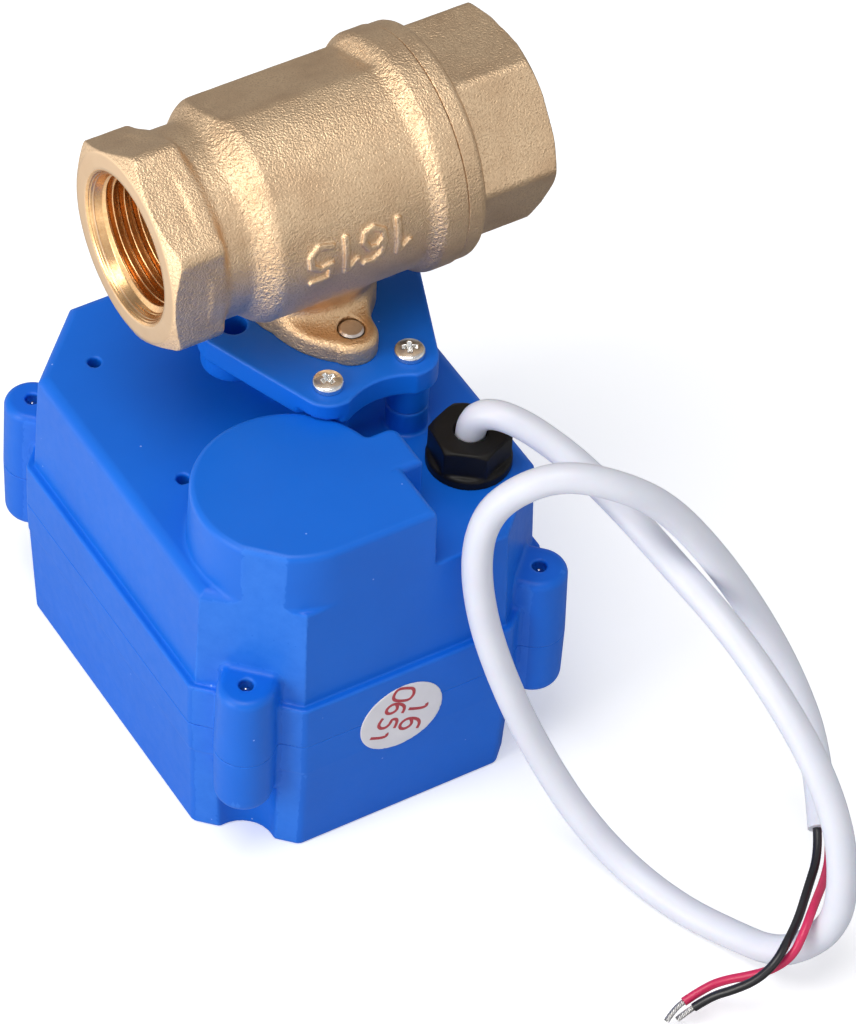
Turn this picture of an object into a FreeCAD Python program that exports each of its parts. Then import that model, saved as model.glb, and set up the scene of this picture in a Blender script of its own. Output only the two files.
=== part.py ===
import FreeCAD, Part
import math
import os

# Motorised shut-off valve: a 1/2 inch brass ball valve turned by a small geared actuator.
# It is stored as it stands in the photograph, on the actuator's flat cover with the valve on top.
# Millimetres. Origin: where the valve's stem axis meets the base plane. X runs along the pipe
# towards the screwed end cap, Z up through the stem, Y towards the back.

V = FreeCAD.Vector
os.makedirs("parts", exist_ok=True)

# Pipe and valve body
pipe_z = 84.2                 # height of the pipe axis above the base
pipe_length = 60.0
thread_major_d = 20.955       # G 1/2 female thread, modelled smooth at its major diameter
thread_length = 13.0
mouth_d = 22.6                # countersink at each mouth
port_d = 13.0                 # waterway through seats and ball
near_hex_af = 28.2
near_hex_length = 8.0
near_hex_turn = 30.0          # degrees, a corner points up
waist_d = 28.4
barrel_d = 33.0
barrel_start = -12.5          # where the round barrel begins, from the stem axis
collar_d = 35.8
collar_start = 10.7
joint_x = 17.0                # joint line between the body and the end cap
cap_ring_d = 35.2
cap_ring_length = 3.4
far_hex_af = 28.0
far_hex_turn = -5.0
cap_thread_d = 28.4           # male thread of the end cap, modelled smooth
flat_angle = 74.5             # the barrel's cast flat, degrees round from the back
flat_depth = 0.55

# Ball, seats and stem
ball_d = 21.0
cavity_d = 22.0
seat_width = 3.4
seat_x = 10.0                 # outer face of each seat, from the stem axis
ball_gap = 0.03
stem_d = 8.0
running_gap = 0.05            # radial clearance of every turning shaft
stem_collar_d = 11.1
stem_collar_gap = 0.7         # from the ball's top down to the collar's upper face
stem_collar_top = pipe_z - ball_d / 2 - stem_collar_gap
stem_collar_t = 2.0
washer_t = 0.6
tang_width = 5.0
tang_depth = 2.4
square_af = 5.6
ring_section_d = 1.1

# Valve foot: two-lobed flange on the mounting plate
plate_top = 61.4
flange_t = 3.6
flange_disc_r = 9.6
flange_lobe_r = 4.3
flange_bolt_y = 11.8
flange_waist_r = 8.0
neck_r = 8.4
flange_screw_d = 3.7

# Mounting plate and its four posts
plate_t = 4.0
plate_hole_x = 12.4
plate_hole_d = 4.0
side_lobe_r = 6.0
side_boss_r = 4.6
side_boss_drop = 3.4
post_x = 6.65
post_y = 17.0
front_lobe_r = 4.2
front_notch_y = 19.6
post_r = 3.1
post_joint_z = 52.2
plate_screw_d = 2.4
plate_screw_head_d = 4.5
plate_screw_length = 12.6     # under the head
plate_relief = 0.35           # gap between the plate and the block over the motor

# Actuator case
case_x = -8.4                 # middle of the case, from the stem axis
case_y = -8.5
case_width = 58.0             # over the band
case_length = 73.4
corner_cut = 12.0
joint_z = 22.4                # joint line between upper and lower case
band_bottom = 16.8
band_top = 30.0
case_top = 48.0
block_top = 58.3
base_inset = 1.2
step_inset = 0.4
ledge_inset = 1.2
top_inset = 1.8
case_wall = 2.2
cavity_inset = 3.8
top_edge_r = 1.6
block_edge_r = 1.0
seal_size = 1.0
seal_inset = 2.0              # outer edge of the seal groove, in from the band

# Raised block over the motor
dome_x = -10.7                # from the middle of the case
dome_y = -20.3
dome_r = 14.3
dome_draft = 0.25
block_side_x = 4.5
tab_x = 7.8
tab_front_y = -25.0
tab_back_y = -17.0
tab_corner_r = 1.6

# Corner lugs and case screws
lug_x = 24.0                  # from the middle of the case
lug_y = 31.9
lug_top_z = 35.05
lug_bottom_z = 12.0
lug_top_r = 4.15
lug_mid_r = 4.4
lug_bottom_r = 4.2
lug_edge_r = 1.2
lug_foot_r = 1.9
lug_eye_d = 2.2
scallop_r = 4.9
case_screw_d = 2.5
case_screw_hole_d = 3.2
case_screw_head_d = 5.4
case_screw_head_h = 2.2
case_screw_seat_z = 16.0
case_screw_tip_z = 34.3

# Small eyes in the top plane over the frame posts, from the stem axis
eye_d = 2.0
frame_post_r = 3.0
frame_post_left = case_x - case_width / 2 + 10.4
frame_post_right = case_x + case_width / 2 - 7.2
frame_posts = [
    (frame_post_left, 14.4), (frame_post_left, -12.1),
    (frame_post_right, -12.0), (frame_post_right, 10.0),
]

# Shaft bearing in the case top
shaft_boss_r = 8.6
shaft_boss_h = 2.0
shaft_seal_r = 7.0
shaft_seal_t = 1.6

# Cable gland and cable
gland_from_side = 10.0        # gland axis, in from the band's right side and front
gland_from_front = 17.3
gland_x = case_x + case_width / 2 - gland_from_side
gland_y = case_y - case_length / 2 + gland_from_front
gland_flange_d = 12.5
gland_flange_t = 1.7
gland_hex_af = 10.6
gland_hex_turn = 22.0
gland_top = 54.0
gland_shank_d = 8.0
gland_bottom = 40.6
gland_bore_d = 6.4
lock_nut_af = 10.4
lock_nut_t = 2.8
cable_d = 4.4
cable_start_z = 52.8
cable_tail_z = 37.0
wire_d = 1.3
tip_d = 0.9
tip_straight = 1.5            # bare end in line with its wire, before it bends

# Gear frame between two plates, and the motor above it
low_plate_z = 4.0
low_plate_t = 1.6
high_plate_z = 22.9
high_plate_t = 1.6
motor_d = 24.2
motor_length = 31.3
motor_boss_d = 7.0
motor_boss_h = 1.4
motor_shaft_d = 2.0
axle_d = 2.0
pillar_r = 2.2
pillar_spigot_r = 1.1
frame_pillars = [
    (frame_post_left - 2.3, 8.0), (frame_post_left - 1.2, -24.4),
    (frame_post_right - 5.2, -22.2), (-14.0, 18.2),
]
frame_screw_d = 2.2
frame_screw_head_d = 4.0
frame_screw_length = 12.0
motor_screw_d = 2.0
motor_screw_head_d = 3.4
motor_screw_length = 4.0
motor_screw_radius = 8.0

# Gears: teeth and modules from the motor to the valve
motor_pinion_teeth = 12
first_wheel_teeth = 40
first_module = 0.5
first_pinion_teeth = 12
second_wheel_teeth = 42
second_module = 0.6
second_pinion_teeth = 12
output_wheel_teeth = 38
output_module = 0.8
tooth_addendum = 0.75         # in modules, stub teeth
tooth_dedendum = 1.0
tooth_backlash = 0.10         # in modules
pressure_angle = 20.0
second_gear_angle = 203.0     # degrees, from the output shaft to the second gear
output_wheel_z = 7.0
output_wheel_t = 4.5
second_wheel_z = 13.0
second_wheel_t = 2.5
second_pinion_z = 6.4
first_wheel_z = 18.0
first_wheel_t = 2.5
first_pinion_z = 12.4
motor_pinion_z = 17.4
motor_pinion_t = 4.0
hub_r = 2.1
hub_end_gap = 0.3
output_hub_r = 6.5
output_hub_top = 16.3
shaft_d = 8.0
shaft_top_d = 10.0
shaft_bottom_z = 2.6
shaft_shoulder_z = 36.0
shaft_top_z = 54.0
socket_depth = 6.0

# Limit cam, switches and circuit board
cam_z = 27.0
cam_t = 4.0
cam_base_r = 6.2
cam_lobe_r = 8.0
cam_lobe_half_angle = 24.0
cam_corner_r = 1.0
cam_hub_r = 5.4
switch_gap = 0.2
button_out = 1.2
button_width = 2.6
button_length = 2.8
switch_width = 12.8
switch_depth = 6.5
switch_height = 5.8
board_z = 33.0
board_t = 1.6
board_low = (-17.0, -13.5)
board_high = (9.6, 16.6)
board_hole_r = 6.4
board_posts = [(-13.0, 13.6), (6.6, -10.6), (-12.0, -9.5)]
board_post_r = 2.4
board_screw_d = 2.0
board_screw_head_d = 3.8
board_screw_length = 8.0
capacitor_place = (5.4, 12.4)
capacitor_d = 6.4
capacitor_height = 8.5
relay_low = (-16.0, -5.0)
relay_high = (-8.5, 7.0)
relay_height = 7.0
connector_low = (-3.5, -13.0)
connector_high = (3.5, -8.0)
connector_height = 5.5

# Inspection sticker, left blank
sticker_x = -1.1              # from the middle of the case
sticker_z = 21.1
sticker_long = 13.5
sticker_short = 12.5
sticker_tilt = 4.0
sticker_t = 0.15

# Cable route: out of the gland, over and down to the base plane, up again beside the case, over its
# own strand and down to the cut end. Then the two wires from its end, and their bare tips.
cable_route = [
    (10.6, -27.9, 52.8), (10.6, -27.9, 54.4), (11.15, -28.6, 57.0), (12.45, -30.35, 58.55),
    (14.25, -32.7, 58.65), (16.65, -35.85, 57.5), (20.3, -41.8, 54.6), (23.7, -49.0, 50.3),
    (26.2, -58.8, 46.5), (28.2, -69.2, 43.8), (29.2, -79.6, 40.6), (30.0, -90.0, 35.5),
    (30.5, -97.0, 28.0), (29.5, -101.0, 20.5), (28.0, -102.5, 14.0), (25.0, -100.5, 8.5),
    (22.0, -97.0, 5.0), (19.5, -89.5, 2.7), (16.0, -82.0, 2.2), (13.0, -73.0, 3.0),
    (9.5, -65.0, 8.0), (6.0, -58.5, 17.0), (2.5, -54.0, 28.5), (0.5, -49.5, 39.5),
    (0.3, -46.7, 49.8), (2.0, -46.2, 57.5), (5.6, -48.2, 62.8), (11.2, -51.0, 65.5),
    (17.6, -55.0, 64.1), (24.0, -57.7, 59.3), (30.2, -61.0, 50.0), (36.0, -65.0, 38.5),
    (40.3, -69.7, 27.0), (41.2, -77.0, 17.5), (36.5, -86.2, 12.8),
]
red_route = [
    (37.24, -86.55, 12.75), (35.67, -89.63, 11.18), (31.8, -94.0, 12.6), (26.8, -98.6, 14.6),
    (23.1, -101.8, 14.1), (20.7, -103.0, 11.4), (17.9, -102.2, 9.1), (15.3, -100.4, 7.4),
    (12.9, -98.5, 5.9), (10.4, -97.4, 4.6), (6.8, -97.4, 3.4),
]
black_route = [
    (35.76, -85.85, 12.85), (34.19, -88.93, 11.27), (29.4, -93.4, 10.8), (24.6, -98.2, 12.0),
    (20.6, -101.4, 12.8), (17.6, -103.2, 11.9), (14.7, -103.2, 9.8), (12.0, -101.6, 7.5),
    (9.8, -99.7, 5.4), (7.5, -99.0, 3.5),
]
red_tip_end = (3.5, -98.3, 2.1)
black_tip_end = (4.9, -98.9, 2.3)


def save(name, shape):
    """Write one named sub-part."""
    shape = shape.removeSplitter() if shape.ShapeType != "Compound" else shape
    shape.exportStep("parts/" + name + ".step")
    print(name, "solids", len(shape.Solids), "volume %.1f" % shape.Volume, "valid", shape.isValid())


def group(shapes):
    """Several separate solids in one node."""
    return Part.makeCompound(shapes)


def cylinder(x, y, z, radius, height):
    return Part.makeCylinder(radius, height, V(x, y, z))


def cylinder_x(x, radius, length):
    """Cylinder on the pipe axis, from x towards +X."""
    return Part.makeCylinder(radius, length, V(x, 0, pipe_z), V(1, 0, 0))


def ring(x, y, z, outer, inner, height):
    return cylinder(x, y, z, outer, height).cut(cylinder(x, y, z, inner, height))


def box(low, high):
    size = [high[i] - low[i] for i in range(3)]
    return Part.makeBox(size[0], size[1], size[2], V(*low))


def fuse_all(first, others):
    shape = first
    for other in others:
        shape = shape.fuse(other)
    return shape


def polygon_prism(points, z, height):
    wire = Part.makePolygon([V(x, y, z) for x, y in points + points[:1]])
    return Part.Face(wire).extrude(V(0, 0, height))


def hexagon(x, y, z, across_flats, height, turn):
    """Upright hexagonal prism with one corner at the angle turn."""
    radius = across_flats / math.sqrt(3)
    corners = [math.radians(turn + 60 * i) for i in range(6)]
    points = [(x + radius * math.cos(a), y + radius * math.sin(a)) for a in corners]
    return polygon_prism(points, z, height)


def hexagon_x(x, across_flats, length, turn):
    """Hexagonal prism along the pipe; turn is a corner's angle from +Y towards +Z."""
    radius = across_flats / math.sqrt(3)
    points = []
    for i in range(7):
        a = math.radians(turn + 60 * i)
        points.append(V(x, radius * math.cos(a), pipe_z + radius * math.sin(a)))
    return Part.Face(Part.makePolygon(points)).extrude(V(length, 0, 0))


def revolved(start, moves, place, centre, axis):
    """Turned solid. moves are (end,) for a line or (through, end) for an arc, as (along, radius)."""
    edges = []
    here = start
    for move in moves:
        end = move[-1]
        if len(move) == 1:
            edges.append(Part.LineSegment(place(*here), place(*end)).toShape())
        else:
            edges.append(Part.Arc(place(*here), place(*move[0]), place(*end)).toShape())
        here = end
    face = Part.Face(Part.Wire(edges))
    return face.revolve(centre, axis, 360)


def turned_x(start, moves):
    """Solid turned about the pipe axis from (x, radius) points."""
    return revolved(start, moves, lambda x, r: V(x, 0, pipe_z + r), V(0, 0, pipe_z), V(1, 0, 0))


def turned_z(x, y, start, moves):
    """Solid turned about an upright axis from (z, radius) points."""
    return revolved(start, moves, lambda z, r: V(x + r, y, z), V(x, y, 0), V(0, 0, 1))


def nestled(first, first_r, second, second_r, radius, side):
    """Centre of a circle that touches two circles from outside. side is +1 or -1."""
    dx = second[0] - first[0]
    dy = second[1] - first[1]
    gap = math.hypot(dx, dy)
    reach_1 = first_r + radius
    reach_2 = second_r + radius
    along = (reach_1 ** 2 - reach_2 ** 2 + gap ** 2) / (2 * gap)
    across = side * math.sqrt(reach_1 ** 2 - along ** 2)
    return (first[0] + (along * dx - across * dy) / gap, first[1] + (along * dy + across * dx) / gap)


def rounded_outline(circles, z):
    """Closed wire of arcs joined by tangent lines, anticlockwise. A circle is (centre, radius), and
    its radius is negative where the outline is hollow."""
    count = len(circles)
    leave = []
    enter = [None] * count
    for i in range(count):
        (x1, y1), r1 = circles[i]
        (x2, y2), r2 = circles[(i + 1) % count]
        gap = math.hypot(x2 - x1, y2 - y1)
        ux, uy = (x2 - x1) / gap, (y2 - y1) / gap
        lean = max(-1.0, min(1.0, (r1 - r2) / gap))
        side = math.sqrt(1 - lean ** 2)
        nx, ny = lean * ux + side * uy, lean * uy - side * ux
        leave.append((x1 + r1 * nx, y1 + r1 * ny))
        enter[(i + 1) % count] = (x2 + r2 * nx, y2 + r2 * ny)
    edges = []
    for i in range(count):
        (cx, cy), r = circles[i]
        start = math.atan2(enter[i][1] - cy, enter[i][0] - cx)
        turn = math.atan2(leave[i][1] - cy, leave[i][0] - cx) - start
        turn = turn % (2 * math.pi) if r > 0 else -((-turn) % (2 * math.pi))
        middle = start + turn / 2
        through = V(cx + abs(r) * math.cos(middle), cy + abs(r) * math.sin(middle), z)
        edges.append(Part.Arc(V(*enter[i], z), through, V(*leave[i], z)).toShape())
        after = enter[(i + 1) % count]
        if math.hypot(after[0] - leave[i][0], after[1] - leave[i][1]) > 1e-4:
            edges.append(Part.LineSegment(V(*leave[i], z), V(*after, z)).toShape())
    return Part.Wire(edges)


def outline_prism(circles, z, height):
    return Part.Face(rounded_outline(circles, z)).extrude(V(0, 0, height))


def octagon(half_width, half_length, cut, z):
    """Case outline: a rectangle with its corners cut off, round the case's middle."""
    w, l = half_width, half_length
    corners = [(w, -l + cut), (w, l - cut), (w - cut, l), (-w + cut, l)]
    corners += [(-w, l - cut), (-w, -l + cut), (-w + cut, -l), (w - cut, -l)]
    return Part.makePolygon([V(case_x + x, case_y + y, z) for x, y in corners + corners[:1]])


def inset_octagon(inset, z, end_inset=None):
    """Case outline drawn in from the band by the same wall all round."""
    ends = inset if end_inset is None else end_inset
    cut = corner_cut - (inset + ends) * (1 - math.sqrt(0.5))
    return octagon(case_width / 2 - inset, case_length / 2 - ends, cut, z)


def drafted(low_wire, high_wire):
    return Part.makeLoft([low_wire, high_wire], True, True)


def lug_places():
    return [(case_x + sx * lug_x, case_y + sy * lug_y, sx, sy) for sx in (-1, 1) for sy in (-1, 1)]


def lug(x, y, sx, sy, z, height, low_r, high_r):
    """One corner lug: a tapered round post with a web back to the cut corner."""
    post = Part.makeCone(low_r, high_r, height, V(x, y, z))
    reach = 5.0
    narrow = min(low_r, high_r)
    web = Part.makeBox(2 * narrow, reach, height, V(-narrow, 0, 0))
    web.rotate(V(0, 0, 0), V(0, 0, 1), math.degrees(math.atan2(-sy, -sx)) - 90)
    web.translate(V(x, y, z))
    return post, web


def circle_edges_at(shape, z):
    """Outer edges that lie flat at one height."""
    return [e for e in shape.Edges if abs(e.BoundBox.ZMin - z) < 1e-3 and abs(e.BoundBox.ZMax - z) < 1e-3]


def make_upper_case():
    """Moulded upper case: band, drafted body, motor block, lugs, bosses and posts."""
    band = drafted(inset_octagon(0, joint_z), inset_octagon(0, band_top))
    body = drafted(inset_octagon(ledge_inset, band_top), inset_octagon(top_inset, case_top))
    body = body.makeFillet(top_edge_r, circle_edges_at(body, case_top))
    shape = band.fuse(body).fuse(make_block())
    for x, y, sx, sy in lug_places():
        post, web = lug(x, y, sx, sy, joint_z, lug_top_z - joint_z, lug_mid_r, lug_top_r)
        post = post.makeFillet(lug_edge_r, circle_edges_at(post, lug_top_z))
        shape = fuse_all(shape, [post, web])
    cavity = drafted(cavity_outline(joint_z), cavity_outline(case_top - case_wall))
    shape = shape.cut(cavity)
    motor_x, motor_y = motor_place()
    room_r = dome_r - case_wall + 0.2
    shape = shape.cut(cylinder(motor_x, motor_y, joint_z, room_r, block_top - case_wall - joint_z))
    post_foot = high_plate_z + high_plate_t
    posts = [cylinder(x, y, post_foot, frame_post_r, case_top - 1 - post_foot) for x, y in frame_posts]
    post_foot = board_z + board_t
    posts += [cylinder(x, y, post_foot, board_post_r, case_top - 1 - post_foot) for x, y in board_posts]
    posts += [cylinder(x, y, case_top - 1, post_r, post_joint_z - case_top + 1) for x, y in post_places()]
    posts.append(cylinder(0, 0, case_top - case_wall - 2, shaft_boss_r, case_wall + 2 + shaft_boss_h))
    shape = fuse_all(shape, posts)
    depth = case_screw_tip_z - joint_z
    holes = [cylinder(x, y, joint_z, case_screw_d / 2, depth) for x, y, sx, sy in lug_places()]
    holes += [cylinder(x, y, joint_z, lug_eye_d / 2, lug_top_z) for x, y, sx, sy in lug_places()]
    holes += [cylinder(x, y, high_plate_z, frame_screw_d / 2, 12) for x, y in frame_posts]
    holes += [cylinder(x, y, high_plate_z, eye_d / 2, case_top) for x, y in frame_posts[:2]]
    holes += [cylinder(x, y, board_z, board_screw_d / 2, 8) for x, y in board_posts]
    holes += [cylinder(x, y, case_top - 1, plate_screw_d / 2, 10) for x, y in post_places()]
    holes.append(cylinder(0, 0, case_top - 10, shaft_top_d / 2 + running_gap, 20))
    holes.append(cylinder(0, 0, case_top + shaft_boss_h - shaft_seal_t, shaft_seal_r, 5))
    holes.append(cylinder(gland_x, gland_y, case_top - 6, gland_shank_d / 2, 12))
    for hole in holes:
        shape = shape.cut(hole)
    return shape


def cavity_outline(z):
    """Inside of the case, one straight prism with wide corners behind the screw scallops."""
    return octagon(case_width / 2 - cavity_inset, case_length / 2 - cavity_inset, corner_cut, z)


def motor_place():
    return case_x + dome_x, case_y + dome_y


def make_block():
    """Raised block over the motor: a drafted dome, flush with the front face, with a side tab."""
    x, y = motor_place()
    draft = dome_draft * (block_top - band_top) / (block_top - case_top)
    dome = Part.makeCone(dome_r + draft, dome_r, block_top - band_top, V(x, y, band_top))
    slope = (top_inset - ledge_inset) / (case_top - band_top)
    front_inset = ledge_inset + slope * (block_top - band_top)
    hull = drafted(inset_octagon(ledge_inset, band_top), inset_octagon(front_inset, block_top))
    low = (x, case_y - case_length, band_top)
    wing = box(low, (case_x + block_side_x, case_y + tab_front_y + 1, block_top))
    corner = (case_x + tab_x - tab_corner_r, case_y + tab_back_y - tab_corner_r)
    tab = fuse_all(
        box((x, case_y + tab_front_y, band_top), (case_x + tab_x, corner[1], block_top)),
        [
            box((x, corner[1] - 1, band_top), (corner[0], case_y + tab_back_y, block_top)),
            cylinder(corner[0], corner[1], band_top, tab_corner_r, block_top - band_top),
        ],
    )
    wing = wing.fuse(tab).common(hull)
    block = dome.fuse(wing).removeSplitter()
    return block.makeFillet(block_edge_r, circle_edges_at(block, block_top))


def post_places():
    return [(sx * post_x, sy * post_y) for sx in (-1, 1) for sy in (-1, 1)]


def make_lower_case():
    """Moulded lower case: a tray with a flat base, scalloped corners and the lower halves of the lugs."""
    band = drafted(inset_octagon(step_inset * 0.6, band_bottom, 0), inset_octagon(0, joint_z))
    tray = drafted(inset_octagon(base_inset, 0), inset_octagon(step_inset, band_bottom, 0))
    shape = band.fuse(tray)
    for x, y, sx, sy in lug_places():
        shape = shape.cut(cylinder(x, y, -1, scallop_r, lug_bottom_z + 1))
    for x, y, sx, sy in lug_places():
        post, web = lug(x, y, sx, sy, lug_bottom_z, joint_z - lug_bottom_z, lug_bottom_r, lug_mid_r)
        post = post.makeFillet(lug_foot_r, circle_edges_at(post, lug_bottom_z))
        shape = fuse_all(shape, [post, web])
    shape = shape.cut(drafted(cavity_outline(case_wall), cavity_outline(joint_z + 1)))
    for x, y, sx, sy in lug_places():
        shape = shape.cut(cylinder(x, y, lug_bottom_z - 1, case_screw_hole_d / 2, joint_z))
        recess = case_screw_seat_z - lug_bottom_z + 1
        shape = shape.cut(cylinder(x, y, lug_bottom_z - 1, case_screw_head_d / 2 + 0.2, recess))
    return shape.cut(make_case_seal())


def make_case_seal():
    """Rubber cord seated in a groove of the lower case's rim."""
    outer = seal_inset
    cord = drafted(seal_outline(outer, joint_z - seal_size), seal_outline(outer, joint_z))
    inner = outer + seal_size
    return cord.cut(drafted(seal_outline(inner, joint_z - seal_size), seal_outline(inner, joint_z)))


def seal_outline(inset, z):
    ratio = 1 - math.sqrt(0.5)
    cut = corner_cut - 2 * (inset - cavity_inset) * ratio
    return octagon(case_width / 2 - inset, case_length / 2 - inset, cut, z)


def pan_screw(x, y, seat_z, head_d, head_h, shank_d, length, up):
    """Pan-head screw with a domed head and a pointed end. up is +1 where the head faces up."""
    head_r = head_d / 2
    shank_r = shank_d / 2
    rise = up * head_h
    start = (seat_z + rise, 0)
    through = (seat_z + rise * 0.82, head_r * 0.62)
    moves = [(through, (seat_z + rise * 0.3, head_r)), ((seat_z, head_r),), ((seat_z, shank_r),)]
    tip = seat_z - up * length
    moves += [((tip + up * shank_r * 0.8, shank_r),), ((tip, shank_r * 0.25),), ((tip, 0),), ((start),)]
    return turned_z(x, y, start, moves)


def cross_recess(x, y, top_z, size, depth):
    """Cross-shaped driver recess."""
    arm = size * 0.24
    long_bar = box((x - size / 2, y - arm / 2, top_z - depth), (x + size / 2, y + arm / 2, top_z + 1))
    other = box((x - arm / 2, y - size / 2, top_z - depth), (x + arm / 2, y + size / 2, top_z + 1))
    return long_bar.fuse(other)


def make_case_screws():
    screws = []
    for x, y, sx, sy in lug_places():
        length = case_screw_tip_z - case_screw_seat_z
        screws.append(
            pan_screw(x, y, case_screw_seat_z, case_screw_head_d, case_screw_head_h, case_screw_d, length, -1)
        )
    return group(screws)


def make_valve_body():
    """Cast brass body: hexagon end, waist, barrel and collar, with a neck and a two-lobed foot."""
    half = pipe_length / 2
    hex_end = -half + near_hex_length
    waist_r = waist_d / 2
    barrel_r = barrel_d / 2
    collar_r = collar_d / 2
    corner_r = near_hex_af / math.sqrt(3)
    blank = turned_x(
        (-half, 0),
        [
            ((-half, near_hex_af / 2 - 0.2),),
            ((-half + 1.6, corner_r + 0.2),),
            ((hex_end - 0.8, corner_r + 0.2),),
            ((hex_end + 1.2, waist_r),),
            ((hex_end + 1.2, 0),),
            ((-half, 0),),
        ],
    )
    hex_part = hexagon_x(-half, near_hex_af, near_hex_length + 1.2, near_hex_turn).common(blank)
    barrel = turned_x(
        (hex_end, 0),
        [
            ((hex_end, waist_r),),
            ((-17.2, waist_r),),
            ((-16.0, waist_r + 0.25), (-15.2, waist_r + 0.95)),
            ((-14.0, barrel_r - 0.45), (barrel_start, barrel_r)),
            ((collar_start - 2.6, barrel_r),),
            ((collar_start - 1.3, barrel_r + 0.35), (collar_start, collar_r - 0.25)),
            ((collar_start + 1.1, collar_r), (collar_start + 2.4, collar_r)),
            ((joint_x - 0.6, collar_r),),
            ((joint_x, collar_r - 0.6),),
            ((joint_x, 0),),
            ((hex_end, 0),),
        ],
    )
    body = hex_part.fuse(barrel).cut(barrel_flat())
    neck = make_neck()
    body = body.fuse(neck)
    body = body.cut(cylinder_x(-half - 1, thread_major_d / 2, thread_length + 1))
    body = body.cut(mouth_cone(-1))
    body = body.cut(cylinder_x(-half, port_d / 2, half))
    body = body.cut(cylinder_x(-seat_x, cavity_d / 2, seat_x + joint_x + 1))
    body = body.cut(cylinder_x(seat_x, cap_thread_d / 2, joint_x))
    body = body.cut(cylinder(0, 0, plate_top - 1, stem_d / 2 + running_gap, stem_collar_top - plate_top))
    pocket_z = stem_collar_top - stem_collar_t - washer_t
    body = body.cut(cylinder(0, 0, pocket_z, stem_collar_d / 2 + running_gap, pipe_z - pocket_z))
    for sy in (-1, 1):
        body = body.cut(cylinder(0, sy * flange_bolt_y, plate_top - 1, flange_screw_d / 2, flange_t + 2.2))
    return body


def barrel_flat():
    """The shallow cast flat along the back of the barrel."""
    depth = barrel_d / 2 - flat_depth
    block = box((-13.0, -20, depth), (collar_start - 1.5, 20, depth + 10))
    block.rotate(V(0, 0, 0), V(1, 0, 0), flat_angle - 90)
    block.translate(V(0, 0, pipe_z))
    return block


def mouth_cone(side):
    """Countersink at one mouth of the pipe."""
    depth = (mouth_d - thread_major_d) / 2
    face_x = side * pipe_length / 2
    return Part.makeCone(mouth_d / 2, thread_major_d / 2, depth, V(face_x, 0, pipe_z), V(-side, 0, 0))


def flange_circles():
    """Foot outline: a disc with two lobes, fuller on the inlet side than on the outlet side."""
    disc = (0.0, 0.0)
    front = (0.0, -flange_bolt_y)
    back = (0.0, flange_bolt_y)
    hollow_1 = nestled(front, flange_lobe_r, disc, flange_disc_r, flange_waist_r, -1)
    hollow_2 = nestled(back, flange_lobe_r, disc, flange_disc_r, flange_waist_r, 1)
    return [
        (front, flange_lobe_r),
        (hollow_1, -flange_waist_r),
        (disc, flange_disc_r),
        (hollow_2, -flange_waist_r),
        (back, flange_lobe_r),
        (disc, flange_disc_r),
    ]


def make_neck():
    """Neck flared onto the two-lobed foot."""
    flange_top = plate_top + flange_t
    foot = outline_prism(flange_circles(), plate_top, flange_t)
    column = outline_prism(flange_circles(), plate_top, pipe_z - plate_top)
    flare_r = neck_r + 3.4
    flare = turned_z(
        0,
        0,
        (plate_top, 0),
        [
            ((plate_top, flare_r),),
            ((flange_top - 0.4, flare_r),),
            ((flange_top + 0.9, neck_r + 0.9), (flange_top + 3.6, neck_r)),
            ((pipe_z - 2, neck_r),),
            ((pipe_z - 2, 0),),
            ((plate_top, 0),),
        ],
    )
    return foot.fuse(flare.common(column))


def make_end_cap():
    """Screwed end cap: male nose, ring against the body, hexagon and threaded mouth."""
    half = pipe_length / 2
    ring_r = cap_ring_d / 2
    ring_end = joint_x + cap_ring_length
    corner_r = far_hex_af / math.sqrt(3)
    nose = cylinder_x(seat_x + 0.8, cap_thread_d / 2, joint_x - seat_x)
    pilot = cylinder_x(seat_x, cavity_d / 2, 2.0)
    ring_part = turned_x(
        (joint_x, 0),
        [
            ((joint_x, ring_r - 0.5),),
            ((joint_x + 0.5, ring_r),),
            ((ring_end - 1.4, ring_r),),
            ((ring_end - 0.4, ring_r - 0.5), (ring_end, ring_r - 1.6)),
            ((ring_end + 0.4, corner_r - 1.2),),
            ((ring_end + 0.4, 0),),
            ((joint_x, 0),),
        ],
    )
    blank = turned_x(
        (ring_end - 1, 0),
        [
            ((ring_end - 1, corner_r + 0.2),),
            ((half - 1.5, corner_r + 0.2),),
            ((half, far_hex_af / 2 - 0.2),),
            ((half, 0),),
            ((ring_end - 1, 0),),
        ],
    )
    hexagon_part = hexagon_x(ring_end - 1, far_hex_af, half - ring_end + 1, far_hex_turn).common(blank)
    cap = fuse_all(nose, [pilot, ring_part, hexagon_part])
    cap = cap.cut(cylinder_x(0, port_d / 2, half))
    cap = cap.cut(cylinder_x(half - thread_length, thread_major_d / 2, thread_length + 1))
    return cap.cut(mouth_cone(1))


def make_body_gasket():
    """Flat ring squeezed between the cap's nose and the body."""
    gasket = cylinder_x(seat_x, cap_thread_d / 2, 0.8)
    return gasket.cut(cylinder_x(seat_x, cavity_d / 2, 0.8))


def make_seats():
    """Two seat rings, each dished to the ball."""
    ball = Part.makeSphere(ball_d / 2 + ball_gap, V(0, 0, pipe_z))
    rings = []
    for x in (-seat_x, seat_x - seat_width):
        seat = cylinder_x(x, cavity_d / 2, seat_width).cut(cylinder_x(x, port_d / 2, seat_width))
        rings.append(seat.cut(ball))
    return group(rings)


def make_ball():
    """Bored ball with a slot for the stem's tang."""
    ball = Part.makeSphere(ball_d / 2, V(0, 0, pipe_z)).cut(cylinder_x(-ball_d, port_d / 2, 2 * ball_d))
    slot_top = pipe_z - ball_d / 2 + tang_depth
    slot = box((-tang_width / 2, -ball_d, pipe_z - ball_d), (tang_width / 2, ball_d, slot_top))
    return ball.cut(slot)


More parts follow.
